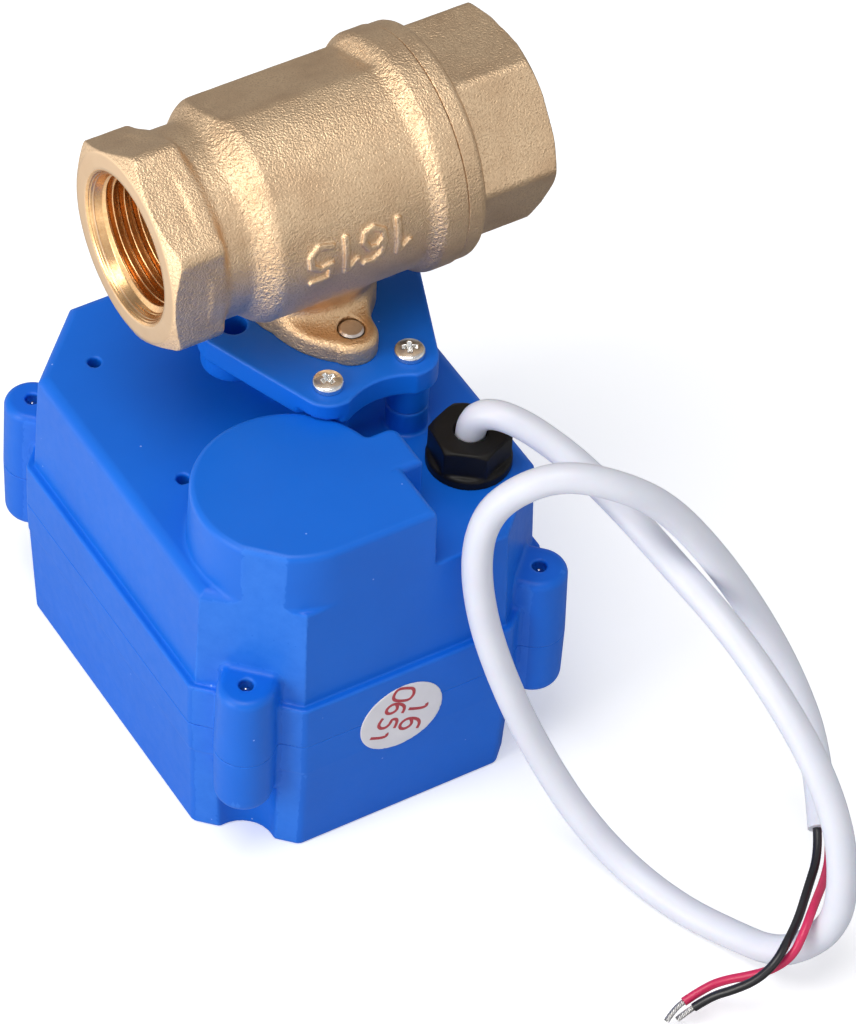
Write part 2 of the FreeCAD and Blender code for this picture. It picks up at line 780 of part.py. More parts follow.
def make_stem():
    """Stem with a tang in the ball, a collar inside the body, two ring grooves and a square foot."""
    radius = stem_d / 2
    collar_low = stem_collar_top - stem_collar_t + 0.02
    square_top = shaft_top_z + 5.0
    stem = cylinder(0, 0, square_top, radius, collar_low - square_top)
    stem = stem.fuse(cylinder(0, 0, collar_low, stem_collar_d / 2, stem_collar_top - collar_low))
    tang_top = pipe_z - ball_d / 2 + tang_depth
    reach = stem_collar_d / 2 - 0.6
    half = tang_width / 2
    tang = box((-half, -reach, stem_collar_top - 0.5), (half, reach, tang_top))
    stem = stem.fuse(tang)
    half_square = square_af / 2
    foot_z = shaft_top_z - socket_depth
    foot = box((-half_square, -half_square, foot_z), (half_square, half_square, square_top + 1))
    stem = stem.fuse(foot.common(cylinder(0, 0, foot_z, radius, 20)))
    for z in stem_ring_heights():
        floor_r = ring_path_r() - ring_section_d / 2
        stem = stem.cut(ring(0, 0, z - ring_section_d / 2, radius + 1, floor_r, ring_section_d))
    return stem


def ring_path_r():
    return stem_d / 2 + running_gap - 0.02 - ring_section_d / 2


def stem_ring_heights():
    return [plate_top + 2.4, plate_top + 5.4]


def make_stem_rings():
    rings = [Part.makeTorus(ring_path_r(), ring_section_d / 2, V(0, 0, z)) for z in stem_ring_heights()]
    return group(rings)


def make_thrust_washer():
    z = stem_collar_top - stem_collar_t - washer_t
    return ring(0, 0, z, stem_collar_d / 2 + running_gap, stem_d / 2 + running_gap, washer_t)


def plate_circles():
    """Plate outline: two side lobes, four post lobes and a hollow between each pair of post lobes."""
    posts = {(sx, sy): (sx * post_x, sy * post_y) for sx in (-1, 1) for sy in (-1, 1)}
    depth = post_y - front_notch_y
    hollow_r = (post_x ** 2 + depth ** 2 - front_lobe_r ** 2) / (2 * (front_lobe_r + depth))
    hollow_y = front_notch_y + hollow_r
    return [
        ((-plate_hole_x, 0.0), side_lobe_r),
        (posts[-1, -1], front_lobe_r),
        ((0.0, -hollow_y), -hollow_r),
        (posts[1, -1], front_lobe_r),
        ((plate_hole_x, 0.0), side_lobe_r),
        (posts[1, 1], front_lobe_r),
        ((0.0, hollow_y), -hollow_r),
        (posts[-1, 1], front_lobe_r),
    ]


def make_mounting_plate():
    """Moulded plate with four posts onto the case, side bosses and a hole for the stem."""
    low = plate_top - plate_t
    plate = outline_prism(plate_circles(), low, plate_t)
    plate = plate.makeFillet(0.5, circle_edges_at(plate, plate_top))
    posts = [cylinder(x, y, post_joint_z, post_r, low - post_joint_z) for x, y in post_places()]
    bosses = []
    for sx in (-1, 1):
        boss = cylinder(sx * plate_hole_x, 0, low - side_boss_drop, side_boss_r, side_boss_drop)
        bosses.append(boss.makeFillet(0.8, circle_edges_at(boss, low - side_boss_drop)))
    plate = fuse_all(plate, posts + bosses)
    plate = plate.cut(cylinder(0, 0, low - 1, stem_d / 2 + 0.6, plate_t + 2))
    for sx in (-1, 1):
        through = side_boss_drop + plate_t + 2
        plate = plate.cut(cylinder(sx * plate_hole_x, 0, low - side_boss_drop - 1, plate_hole_d / 2, through))
    for sy in (-1, 1):
        plate = plate.cut(cylinder(0, sy * flange_bolt_y, low - 1, flange_screw_d / 2, plate_t + 2))
    for x, y in post_places():
        plate = plate.cut(cylinder(x, y, post_joint_z - 1, plate_screw_d / 2, plate_top - post_joint_z + 2))
    x, y = motor_place()
    relief_top = block_top + plate_relief
    return plate.cut(cylinder(x, y, post_joint_z - 1, dome_r + plate_relief, relief_top - post_joint_z + 1))


def make_plate_screws():
    screws = []
    for x, y in post_places():
        screw = pan_screw(x, y, plate_top, plate_screw_head_d, 1.5, plate_screw_d, plate_screw_length, 1)
        screws.append(screw.cut(cross_recess(x, y, plate_top + 1.5, plate_screw_head_d * 0.6, 0.8)))
    return group(screws)


def make_flange_screws():
    """Two screws from under the plate, their ends flush with the foot's lobes."""
    screws = []
    low = plate_top - plate_t
    radius = flange_screw_d / 2
    for sy in (-1, 1):
        shank = cylinder(0, sy * flange_bolt_y, low, radius, plate_t + flange_t + 0.2)
        shank = shank.makeChamfer(0.3, circle_edges_at(shank, plate_top + flange_t + 0.2))
        head = cylinder(0, sy * flange_bolt_y, low - 2.0, radius * 1.8, 2.0)
        head = head.makeFillet(0.6, circle_edges_at(head, low - 2.0))
        screws.append(shank.fuse(head))
    return group(screws)


def make_gland():
    """Cable gland: a hexagon on a round flange, with a threaded shank through the case top."""
    flange_r = gland_flange_d / 2
    top = gland_top - case_top
    flange = turned_z(
        gland_x,
        gland_y,
        (case_top, 0),
        [
            ((case_top, flange_r),),
            ((case_top + gland_flange_t - 0.7, flange_r),),
            ((case_top + gland_flange_t, flange_r - 0.7),),
            ((case_top + gland_flange_t, 0),),
            ((case_top, 0),),
        ],
    )
    nut = hexagon(gland_x, gland_y, case_top, gland_hex_af, top, gland_hex_turn)
    cone_r = gland_hex_af / 2 - 0.1
    nut = nut.common(Part.makeCone(cone_r + top * 1.6, cone_r + 0.2, top, V(gland_x, gland_y, case_top)))
    shank = cylinder(gland_x, gland_y, gland_bottom, gland_shank_d / 2, case_top - gland_bottom)
    gland = fuse_all(flange, [nut, shank])
    bore = cable_start_z - gland_bottom + 1
    gland = gland.cut(cylinder(gland_x, gland_y, gland_bottom - 1, gland_bore_d / 2, bore))
    seat = V(gland_x, gland_y, cable_start_z)
    lip = Part.makeCone(cable_d / 2 + 0.1, cable_d / 2 + 0.6, gland_top - cable_start_z, seat)
    return gland.cut(lip)


def make_lock_nut():
    z = case_top - case_wall - lock_nut_t
    nut = hexagon(gland_x, gland_y, z, lock_nut_af, lock_nut_t, 45)
    return nut.cut(cylinder(gland_x, gland_y, z - 1, gland_shank_d / 2, lock_nut_t + 2))


def make_grommet():
    """Rubber sleeve squeezed round the cable inside the gland."""
    z = gland_bottom + 2.0
    return ring(gland_x, gland_y, z, gland_bore_d / 2, cable_d / 2, cable_start_z - z)


def make_cable_tail():
    """The cable's end inside the case, through the grommet."""
    return cylinder(gland_x, gland_y, cable_tail_z, cable_d / 2, cable_start_z - cable_tail_z)


def tube(name, route, diameter):
    """Tube along a route of straight runs joined by tangent arcs."""
    points = [V(*p) for p in route]
    edges = []
    start = points[0]
    radii = []
    for i in range(1, len(points) - 1):
        before = points[i] - points[i - 1]
        after = points[i + 1] - points[i]
        turn = before.getAngle(after)
        back = 0.45 * min(before.Length, after.Length)
        radii.append(back / math.tan(turn / 2))
        u = V(before).normalize()
        w = V(after).normalize()
        entry = points[i] - u * back
        leave = points[i] + w * back
        centre_way = (w - u).normalize()
        to_arc = back * (1 / math.cos(turn / 2) - 1) / math.tan(turn / 2)
        through = points[i] + centre_way * to_arc
        edges.append(Part.LineSegment(start, entry).toShape())
        edges.append(Part.Arc(entry, through, leave).toShape())
        start = leave
    edges.append(Part.LineSegment(start, points[-1]).toShape())
    path = Part.Wire(edges)
    section = Part.Wire(Part.Circle(points[0], points[1] - points[0], diameter / 2).toShape())
    shape = path.makePipeShell([section], True, False)
    area = math.pi * diameter ** 2 / 4
    ratio = shape.Volume / (area * path.Length)
    print(name, "length %.1f" % path.Length, "least radius %.1f" % min(radii), "volume ratio %.4f" % ratio)
    return shape


def tip_route(route, end):
    """Bare end of a wire: in line with its last run, then bent to its own end."""
    last = V(*route[-1])
    way = (last - V(*route[-2])).normalize()
    bend = last + way * tip_straight
    return [tuple(last), tuple(bend), end]


def make_sticker():
    """Blank oval sticker on the front face."""
    face_y = case_y - case_length / 2
    ellipse = Part.Ellipse(V(0, 0, 0), sticker_long / 2, sticker_short / 2)
    sheet = Part.Face(Part.Wire(ellipse.toShape())).extrude(V(0, 0, sticker_t))
    sheet.rotate(V(0, 0, 0), V(0, 0, 1), sticker_tilt)
    sheet.rotate(V(0, 0, 0), V(1, 0, 0), 90)
    sheet.translate(V(case_x + sticker_x, face_y, sticker_z))
    return sheet


def gear_places():
    """Axes of the second and first gears, worked out from the gear sizes and the motor's place."""
    to_output = output_module * (second_pinion_teeth + output_wheel_teeth) / 2
    angle = math.radians(second_gear_angle)
    second = (to_output * math.cos(angle), to_output * math.sin(angle))
    motor = motor_place()
    to_second = second_module * (first_pinion_teeth + second_wheel_teeth) / 2
    to_motor = first_module * (motor_pinion_teeth + first_wheel_teeth) / 2
    first = nestled(motor, to_motor, second, to_second, 0.0, -1)
    return first, second


def gear(centre, teeth, module, z, height, tooth_angle):
    """Spur gear with involute flanks and one tooth centred at tooth_angle, in radians."""
    pitch_r = teeth * module / 2
    base_r = pitch_r * math.cos(math.radians(pressure_angle))
    tip_r = pitch_r + tooth_addendum * module
    root_r = pitch_r - tooth_dedendum * module
    start_r = max(base_r, root_r)
    half_pitch = (math.pi / 2 - tooth_backlash) / teeth

    def involute(radius):
        a = math.acos(min(1.0, base_r / radius))
        return math.tan(a) - a

    def half_angle(radius):
        return half_pitch + involute(pitch_r) - involute(radius)

    def at(radius, angle):
        return V(centre[0] + radius * math.cos(angle), centre[1] + radius * math.sin(angle), z)

    edges = []
    middle_r = (start_r + tip_r) / 2
    for i in range(teeth):
        a = tooth_angle + 2 * math.pi * i / teeth
        following = a + 2 * math.pi / teeth
        low = half_angle(start_r)
        mid = half_angle(middle_r)
        high = half_angle(tip_r)
        edges.append(Part.Arc(at(start_r, a - low), at(middle_r, a - mid), at(tip_r, a - high)).toShape())
        edges.append(Part.LineSegment(at(tip_r, a - high), at(tip_r, a + high)).toShape())
        edges.append(Part.Arc(at(tip_r, a + high), at(middle_r, a + mid), at(start_r, a + low)).toShape())
        if root_r < start_r:
            edges.append(Part.LineSegment(at(start_r, a + low), at(root_r, a + low)).toShape())
        edges.append(Part.LineSegment(at(root_r, a + low), at(root_r, following - low)).toShape())
        if root_r < start_r:
            edges.append(Part.makeLine(at(root_r, following - low), at(start_r, following - low)))
    return Part.Face(Part.Wire(edges)).extrude(V(0, 0, height))


def direction(start, end):
    return math.atan2(end[1] - start[1], end[0] - start[0])


def wheel(place, towards, teeth, module, z, height):
    """Gear with a tooth on the line to the gear it drives or is driven by."""
    return gear(place, teeth, module, z, height, direction(place, towards))


def pinion(place, towards, teeth, module, z, height):
    """Gear with a gap on the line to its wheel."""
    return gear(place, teeth, module, z, height, direction(place, towards) + math.pi / teeth)


def make_output_gear():
    first, second = gear_places()
    shape = wheel((0.0, 0.0), second, output_wheel_teeth, output_module, output_wheel_z, output_wheel_t)
    foot = low_plate_z + low_plate_t + hub_end_gap
    shape = shape.fuse(cylinder(0, 0, foot, output_hub_r, output_hub_top - foot))
    return shape.cut(cylinder(0, 0, 0, shaft_d / 2, case_top))


def gear_hub(place):
    """Round hub that keeps a gear at its height between the frame plates."""
    low = low_plate_z + low_plate_t + hub_end_gap
    return cylinder(place[0], place[1], low, hub_r, high_plate_z - hub_end_gap - low)


def make_second_gear():
    first, second = gear_places()
    shape = wheel(second, first, second_wheel_teeth, second_module, second_wheel_z, second_wheel_t)
    height = second_wheel_z - second_pinion_z
    low = pinion(second, (0.0, 0.0), second_pinion_teeth, output_module, second_pinion_z, height)
    shape = shape.fuse(low).fuse(gear_hub(second))
    return shape.cut(cylinder(second[0], second[1], 0, axle_d / 2 + running_gap, case_top))


def make_first_gear():
    first, second = gear_places()
    shape = wheel(first, motor_place(), first_wheel_teeth, first_module, first_wheel_z, first_wheel_t)
    height = first_wheel_z - first_pinion_z
    low = pinion(first, second, first_pinion_teeth, second_module, first_pinion_z, height)
    shape = shape.fuse(low).fuse(gear_hub(first))
    return shape.cut(cylinder(first[0], first[1], 0, axle_d / 2 + running_gap, case_top))


def make_motor_pinion():
    """Pinion pressed on the motor's shaft, with the shaft as one turning piece."""
    x, y = motor_place()
    first, second = gear_places()
    shape = pinion((x, y), first, motor_pinion_teeth, first_module, motor_pinion_z, motor_pinion_t)
    top = high_plate_z + high_plate_t - motor_boss_h - 0.1
    return shape.fuse(cylinder(x, y, motor_pinion_z, motor_shaft_d / 2, top - motor_pinion_z))


def make_motor():
    """Sealed gear motor: can, front boss and rear cap with two tags."""
    x, y = motor_place()
    z = high_plate_z + high_plate_t
    radius = motor_d / 2
    can = cylinder(x, y, z, radius, motor_length)
    can = can.makeFillet(1.0, circle_edges_at(can, z + motor_length))
    can = can.fuse(cylinder(x, y, z - motor_boss_h, motor_boss_d / 2, motor_boss_h))
    for px, py in motor_screw_places():
        can = can.cut(cylinder(px, py, z - 1, motor_screw_d / 2, 4))
    return can


def motor_screw_places():
    x, y = motor_place()
    angles = [math.radians(a) for a in (75.0, 255.0)]
    return [(x + motor_screw_radius * math.cos(a), y + motor_screw_radius * math.sin(a)) for a in angles]


def make_motor_screws():
    head = motor_screw_head_d
    screws = []
    for x, y in motor_screw_places():
        screws.append(pan_screw(x, y, high_plate_z, head, 1.0, motor_screw_d, motor_screw_length, -1))
    return group(screws)


def make_shaft():
    """Output shaft: bearing journals, a thicker top through the case and a square socket."""
    shaft = cylinder(0, 0, shaft_bottom_z, shaft_d / 2, shaft_shoulder_z - shaft_bottom_z)
    shaft = shaft.fuse(cylinder(0, 0, shaft_shoulder_z, shaft_top_d / 2, shaft_top_z - shaft_shoulder_z))
    ends = circle_edges_at(shaft, shaft_bottom_z) + circle_edges_at(shaft, shaft_top_z)
    shaft = shaft.makeChamfer(0.4, ends)
    half = square_af / 2
    socket = box((-half, -half, shaft_top_z - socket_depth), (half, half, shaft_top_z + 1))
    return shaft.cut(socket.common(cylinder(0, 0, shaft_top_z - socket_depth, stem_d / 2, socket_depth + 1)))


def make_shaft_seal():
    z = case_top + shaft_boss_h - shaft_seal_t
    return ring(0, 0, z, shaft_seal_r, shaft_top_d / 2 + running_gap, shaft_seal_t)


def make_axles():
    first, second = gear_places()
    length = high_plate_z + high_plate_t - low_plate_z
    return group([cylinder(x, y, low_plate_z, axle_d / 2, length) for x, y in (first, second)])


def frame_plate(circles, z, thickness):
    plate = outline_prism(circles, z, thickness)
    first, second = gear_places()
    holes = [cylinder(x, y, z - 1, axle_d / 2, 5) for x, y in (first, second)]
    holes += [cylinder(x, y, z - 1, pillar_spigot_r, 5) for x, y in frame_pillars]
    holes.append(cylinder(0, 0, z - 1, shaft_d / 2 + running_gap, 5))
    for hole in holes:
        plate = plate.cut(hole)
    return plate


def make_low_plate():
    left_back, left_front, right_front, middle_back = frame_pillars
    circles = [(left_back, 3.2), (left_front, 3.2), (right_front, 3.2), ((2.0, 0.0), 8.0), (middle_back, 3.2)]
    return frame_plate(circles, low_plate_z, low_plate_t)


def make_high_plate():
    left_back, left_front, right_front, right_back = frame_posts
    x, y = motor_place()
    circles = [(left_back, 3.0), (left_front, 3.0), ((x, y), 10.3), (frame_pillars[2], 3.4)]
    circles += [(right_front, 3.0), (right_back, 3.0), (frame_pillars[3], 3.4)]
    plate = frame_plate(circles, high_plate_z, high_plate_t)
    for px, py in frame_posts:
        plate = plate.cut(cylinder(px, py, high_plate_z - 1, frame_screw_d / 2, 5))
    for px, py in motor_screw_places():
        plate = plate.cut(cylinder(px, py, high_plate_z - 1, motor_screw_d / 2, 5))
    return plate.cut(cylinder(x, y, high_plate_z - 1, motor_boss_d / 2, 5))


def make_pillars():
    pillars = []
    low = low_plate_z + low_plate_t
    for x, y in frame_pillars:
        pillar = cylinder(x, y, low, pillar_r, high_plate_z - low)
        spigot = cylinder(x, y, low_plate_z, pillar_spigot_r, high_plate_z + high_plate_t - low_plate_z)
        pillars.append(pillar.fuse(spigot))
    return group(pillars)


def make_frame_screws():
    head = frame_screw_head_d
    screws = []
    for x, y in frame_posts:
        screws.append(pan_screw(x, y, high_plate_z, head, 1.3, frame_screw_d, frame_screw_length, -1))
    return group(screws)


def make_cam():
    """Limit cam: a round hub with one lobe that faces the open switch at rest."""
    half = math.radians(cam_lobe_half_angle)
    side = (case_width * math.sin(half), case_width * math.cos(half))
    wedge = polygon_prism([(0.0, 0.0), side, (-side[0], side[1])], cam_z, cam_t)
    lobe = cylinder(0, 0, cam_z, cam_lobe_r, cam_t).common(wedge)
    cam = cylinder(0, 0, cam_z, cam_base_r, cam_t).fuse(lobe)
    cam = cam.removeSplitter()
    upright = [e for e in cam.Edges if e.BoundBox.ZLength > cam_t - 1e-3]
    corners = [e for e in upright if math.hypot(e.CenterOfMass.x, e.CenterOfMass.y) > cam_lobe_r - 0.01]
    cam = cam.makeFillet(cam_corner_r, corners)
    foot = high_plate_z + high_plate_t + hub_end_gap
    cam = cam.fuse(cylinder(0, 0, foot, cam_hub_r, cam_z - foot))
    return cam.cut(cylinder(0, 0, 0, shaft_d / 2, case_top))


def switch_parts(turn):
    """Microswitch body and button. turn is the angle of its place round the shaft."""
    face = cam_lobe_r + switch_gap + button_out
    top = board_z
    low = top - switch_height
    body = box((face, -switch_width / 2, low), (face + switch_depth, switch_width / 2, top))
    body = body.makeChamfer(0.4, [e for e in body.Edges if e.BoundBox.ZLength > 1])
    middle = cam_z + cam_t / 2
    across = button_length / 2
    low_z, high_z = middle - button_width / 2, middle + button_width / 2
    button = box((face - button_out, -across, low_z), (face + 1.4, across, high_z))
    tip = [e for e in button.Edges if e.BoundBox.XMax < face - button_out + 1e-3 and e.BoundBox.ZLength > 1]
    button = button.makeFillet(0.9, tip)
    play = 0.1
    inner = button_out + 1.2
    pocket = box((face - play, -across - play, low_z - play), (face + inner, across + play, high_z + play))
    body = body.cut(pocket)
    for shape in (body, button):
        shape.rotate(V(0, 0, 0), V(0, 0, 1), turn)
    return body, button


def make_board():
    low, high = board_low, board_high
    board = box((low[0], low[1], board_z), (high[0], high[1], board_z + board_t))
    board = board.cut(cylinder(0, 0, board_z - 1, board_hole_r, 5))
    for x, y in board_posts:
        board = board.cut(cylinder(x, y, board_z - 1, board_screw_d / 2, 5))
    return board


def make_board_parts():
    """Larger components on the board: a capacitor, a relay and the wire connector."""
    z = board_z + board_t
    can = cylinder(capacitor_place[0], capacitor_place[1], z, capacitor_d / 2, capacitor_height)
    can = can.makeFillet(0.6, circle_edges_at(can, z + capacitor_height))
    relay = box((relay_low[0], relay_low[1], z), (relay_high[0], relay_high[1], z + relay_height))
    low, high = connector_low, connector_high
    connector = box((low[0], low[1], z), (high[0], high[1], z + connector_height))
    return group([can, relay, connector])


def make_board_screws():
    head = board_screw_head_d
    screws = []
    for x, y in board_posts:
        screws.append(pan_screw(x, y, board_z, head, 1.2, board_screw_d, board_screw_length, -1))
    return group(screws)


def main():
    save("valve_body", make_valve_body())
    save("end_cap", make_end_cap())
    save("body_gasket", make_body_gasket())
    save("ball_seats", make_seats())
    save("valve_ball", make_ball())
    save("valve_stem", make_stem())
    save("stem_rings", make_stem_rings())
    save("thrust_washer", make_thrust_washer())
    save("mounting_plate", make_mounting_plate())
    save("plate_screws", make_plate_screws())
    save("flange_screws", make_flange_screws())
    save("upper_case", make_upper_case())
    save("lower_case", make_lower_case())
    save("case_seal", make_case_seal())
    save("case_screws", make_case_screws())
    save("cable_gland", make_gland())
    save("gland_lock_nut", make_lock_nut())
    save("cable_grommet", make_grommet())
    save("cable_tail", make_cable_tail())
    save("cable", tube("cable", cable_route, cable_d))
    save("red_wire", tube("red_wire", red_route, wire_d))
    save("black_wire", tube("black_wire", black_route, wire_d))
    save("red_wire_tip", tube("red_wire_tip", tip_route(red_route, red_tip_end), tip_d))
    save("black_wire_tip", tube("black_wire_tip", tip_route(black_route, black_tip_end), tip_d))
    save("sticker", make_sticker())
    save("gear_motor", make_motor())
    save("motor_screws", make_motor_screws())
    save("motor_pinion", make_motor_pinion())
    save("first_gear", make_first_gear())
    save("second_gear", make_second_gear())
    save("output_gear", make_output_gear())
    save("output_shaft", make_shaft())
    save("shaft_seal", make_shaft_seal())
    save("gear_axles", make_axles())
    save("lower_frame_plate", make_low_plate())
    save("upper_frame_plate", make_high_plate())
    save("frame_pillars", make_pillars())
    save("frame_screws", make_frame_screws())
    save("limit_cam", make_cam())
    for name, turn in (("open", 90.0), ("closed", 180.0)):
        body, button = switch_parts(turn)
        save(name + "_switch", body)
        save(name + "_switch_button", button)
    save("circuit_board", make_board())
    save("board_parts", make_board_parts())
    save("board_screws", make_board_screws())


main()
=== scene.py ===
import math

import bpy
import numpy as np
from mathutils import Matrix, Vector


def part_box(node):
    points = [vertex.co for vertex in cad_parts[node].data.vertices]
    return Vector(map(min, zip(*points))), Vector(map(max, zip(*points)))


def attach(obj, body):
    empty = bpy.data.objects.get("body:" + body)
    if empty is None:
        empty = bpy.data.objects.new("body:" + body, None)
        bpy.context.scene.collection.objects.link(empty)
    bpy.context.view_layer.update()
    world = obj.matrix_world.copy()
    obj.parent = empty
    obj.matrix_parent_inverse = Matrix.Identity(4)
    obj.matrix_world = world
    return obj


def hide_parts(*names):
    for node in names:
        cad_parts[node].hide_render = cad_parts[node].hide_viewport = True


# Motorised shut-off valve. Sections follow the object as it is put together, from the cable in
# hand to the gears inside. Lengths in a section are millimetres until a mesh or a node is made.
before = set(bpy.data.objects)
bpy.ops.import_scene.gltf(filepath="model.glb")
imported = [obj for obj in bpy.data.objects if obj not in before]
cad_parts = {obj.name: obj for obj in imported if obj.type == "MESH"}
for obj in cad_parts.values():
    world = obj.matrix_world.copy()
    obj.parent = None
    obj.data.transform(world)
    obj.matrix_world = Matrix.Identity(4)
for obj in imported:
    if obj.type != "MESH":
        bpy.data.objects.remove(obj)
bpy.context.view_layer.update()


# The camera stands above the case's front left corner and looks down past the pipe's mouth, far
# off and with a long lens, so that the pipe's far end is hardly smaller than its near end.
camera_place = Vector((-0.31146, -0.51560, 0.64804))
camera_azimuth = math.radians(32.917)
camera_drop = math.radians(46.293)
camera_roll = math.radians(3.352)
camera_lens = 207.12

camera = bpy.data.objects.new("camera", bpy.data.cameras.new("camera"))
camera.data.lens = camera_lens
camera.data.clip_end = 20.0
ahead = Vector((math.sin(camera_azimuth) * math.cos(camera_drop),
                math.cos(camera_azimuth) * math.cos(camera_drop), -math.sin(camera_drop)))
level = Vector((math.cos(camera_azimuth), -math.sin(camera_azimuth), 0.0))
right = (level * math.cos(camera_roll) - ahead.cross(level) * math.sin(camera_roll)).normalized()
above = right.cross(ahead)
turned = Matrix((right, above, -ahead)).transposed().to_4x4()
camera.matrix_world = Matrix.Translation(camera_place) @ turned
bpy.context.scene.collection.objects.link(camera)
bpy.context.scene.camera = camera
bpy.context.scene.view_settings.view_transform = "Standard"


# The white table and the studio round it: paper-white below and round about, a little greyer
# overhead, with one long soft lamp on the left and one above. In mirrored light the table is the
# grey cloth that the valve stood on, with painted light: paler at the left, where the left lamp
# falls, and a painted glow there; the wall above and in front is bright.
paper_white = "#f4f5f7"
studio_white = "#ffffff"
overhead_grey = "#b9bcc2"
lamp_white = "#fffdf8"
table_size, table_glow = 6.0, 0.34
studio_light = 0.62
mirrored_dim, mirrored_bright = 0.44, 1.0
wall_way, wall_from, wall_to = (-0.25, -0.75, 0.6), -0.05, 0.45
ceiling_from, ceiling_to = 0.25, 0.8
cloth_dim, cloth_painted_lit, cloth_painted_glow = 0.3, 0.9, 0.6
cloth_from, cloth_to, shine_from, shine_to = -0.12, 0.0, -0.14, -0.04


def colour(code):
    """Linear colour of an sRGB hex value."""
    parts = [int(code[i:i + 2], 16) / 255 for i in (1, 3, 5)]
    return [p / 12.92 if p <= 0.04045 else ((p + 0.055) / 1.055) ** 2.4 for p in parts] + [1.0]


def node(tree, kind, inputs=None, **settings):
    """Adds a node. An input is a value, or the socket that it is linked to."""
    made = tree.nodes.new("ShaderNode" + kind)
    for name, value in settings.items():
        setattr(made, name, value)
    for name, value in (inputs or {}).items():
        if isinstance(value, bpy.types.NodeSocket):
            tree.links.new(value, made.inputs[name])
        else:
            made.inputs[name].default_value = value
    return made


def blank_material(name):
    """A material with an empty node tree."""
    material = bpy.data.materials.new(name)
    material.use_nodes = True
    material.node_tree.nodes.clear()
    return material, material.node_tree


def seen_directly(tree):
    """1 for what the camera sees, plainly or through glass, 0 for light that falls on the object."""
    path = node(tree, "LightPath")
    both = node(tree, "Math", {0: path.outputs["Is Camera Ray"],
                               1: path.outputs["Is Transmission Ray"]}, operation="ADD", use_clamp=True)
    return both.outputs[0]


# Matt white paper, which keeps the valve's shadow. Only mirrored rays see it as the grey cloth,
# with painted light from the left lamp on it: paler at the left, and a painted glow there.
paper, tree = blank_material("white_paper")
across = node(tree, "SeparateXYZ", {0: node(tree, "NewGeometry").outputs["Position"]})
# Painted light: in mirrors the cloth is paler at the left, where the left lamp falls.
cloth = node(tree, "MapRange", {"Value": across.outputs["X"], "From Min": cloth_from,
                                "From Max": cloth_to, "To Min": cloth_painted_lit, "To Max": cloth_dim})
shown = node(tree, "Mix", {"Factor": node(tree, "LightPath").outputs["Is Glossy Ray"],
                           "A": colour(paper_white), "B": cloth.outputs[0]}, data_type="RGBA")
lit = node(tree, "BsdfDiffuse", {"Color": shown.outputs["Result"]})
# Painted glow on the cloth at the left, seen only in mirrors, standing in for the left lamp's light.
painted_glow = node(tree, "MapRange", {"Value": across.outputs["X"], "From Min": shine_from,
                                "From Max": shine_to, "To Min": cloth_painted_glow, "To Max": 0.0})
painted_glow_mirrored = node(tree, "Math", {0: painted_glow.outputs[0],
                                    1: node(tree, "LightPath").outputs["Is Glossy Ray"]},
                     operation="MULTIPLY")
strength = node(tree, "MapRange", {"Value": seen_directly(tree), "To Min": painted_glow_mirrored.outputs[0],
                                   "To Max": table_glow})
glow = node(tree, "Emission", {"Color": colour(studio_white), "Strength": strength.outputs[0]})
paper_shown = node(tree, "AddShader", {0: lit.outputs[0], 1: glow.outputs[0]})
node(tree, "OutputMaterial", {"Surface": paper_shown.outputs[0]})

corner = table_size / 2
table_mesh = bpy.data.meshes.new("table")
table_mesh.from_pydata([(-corner, -corner, 0), (corner, -corner, 0), (corner, corner, 0),
                        (-corner, corner, 0)], [], [(0, 1, 2, 3)])
table_mesh.materials.append(paper)
table = bpy.data.objects.new("table", table_mesh)
bpy.context.scene.collection.objects.link(table)

world = bpy.data.worlds.new("studio")
world.use_nodes = True
tree = world.node_tree
tree.nodes.clear()
height = node(tree, "SeparateXYZ", {0: node(tree, "TexCoord").outputs["Generated"]})
ceiling = node(tree, "MapRange", {"Value": height.outputs["Z"], "From Min": ceiling_from,
                                  "From Max": ceiling_to})
round_about = node(tree, "Mix", {"Factor": ceiling.outputs[0], "A": colour(studio_white),
                                 "B": colour(overhead_grey)}, data_type="RGBA")
facing = node(tree, "VectorMath", {0: node(tree, "TexCoord").outputs["Generated"], 1: wall_way},
              operation="DOT_PRODUCT")
wall = node(tree, "MapRange", {"Value": facing.outputs["Value"], "From Min": wall_from,
                               "From Max": wall_to, "To Min": mirrored_dim, "To Max": mirrored_bright})
mirrored = node(tree, "MapRange", {"Value": node(tree, "LightPath").outputs["Is Glossy Ray"],
                                   "To Min": studio_light, "To Max": wall.outputs[0]})
strength = node(tree, "MapRange", {"Value": seen_directly(tree), "To Min": mirrored.outputs[0],
                                   "To Max": 1.0})
sky = node(tree, "Background", {"Color": round_about.outputs["Result"], "Strength": strength.outputs[0]})
node(tree, "OutputWorld", {"Surface": sky.outputs[0]})
bpy.context.scene.world = world


def soft_lamp(name, place, target, width, length, watts):
    """A softbox at place, facing target, both in metres."""
    lamp = bpy.data.lights.new(name, "AREA")
    lamp.shape = "RECTANGLE"
    lamp.size, lamp.size_y = width, length
    lamp.energy = watts
    lamp.color = colour(lamp_white)[:3]
    holder = bpy.data.objects.new(name, lamp)
    holder.location = place
    holder.rotation_euler = (Vector(target) - Vector(place)).to_track_quat("-Z", "Y").to_euler()
    bpy.context.scene.collection.objects.link(holder)


soft_lamp("left_softbox", (-1.15, -0.1, 0.45), (0, 0, 0.05), 0.5, 0.9, 7.5)
soft_lamp("upper_softbox", (-0.32, -0.16, 1.3), (0, 0, 0.05), 0.8, 0.8, 9.0)


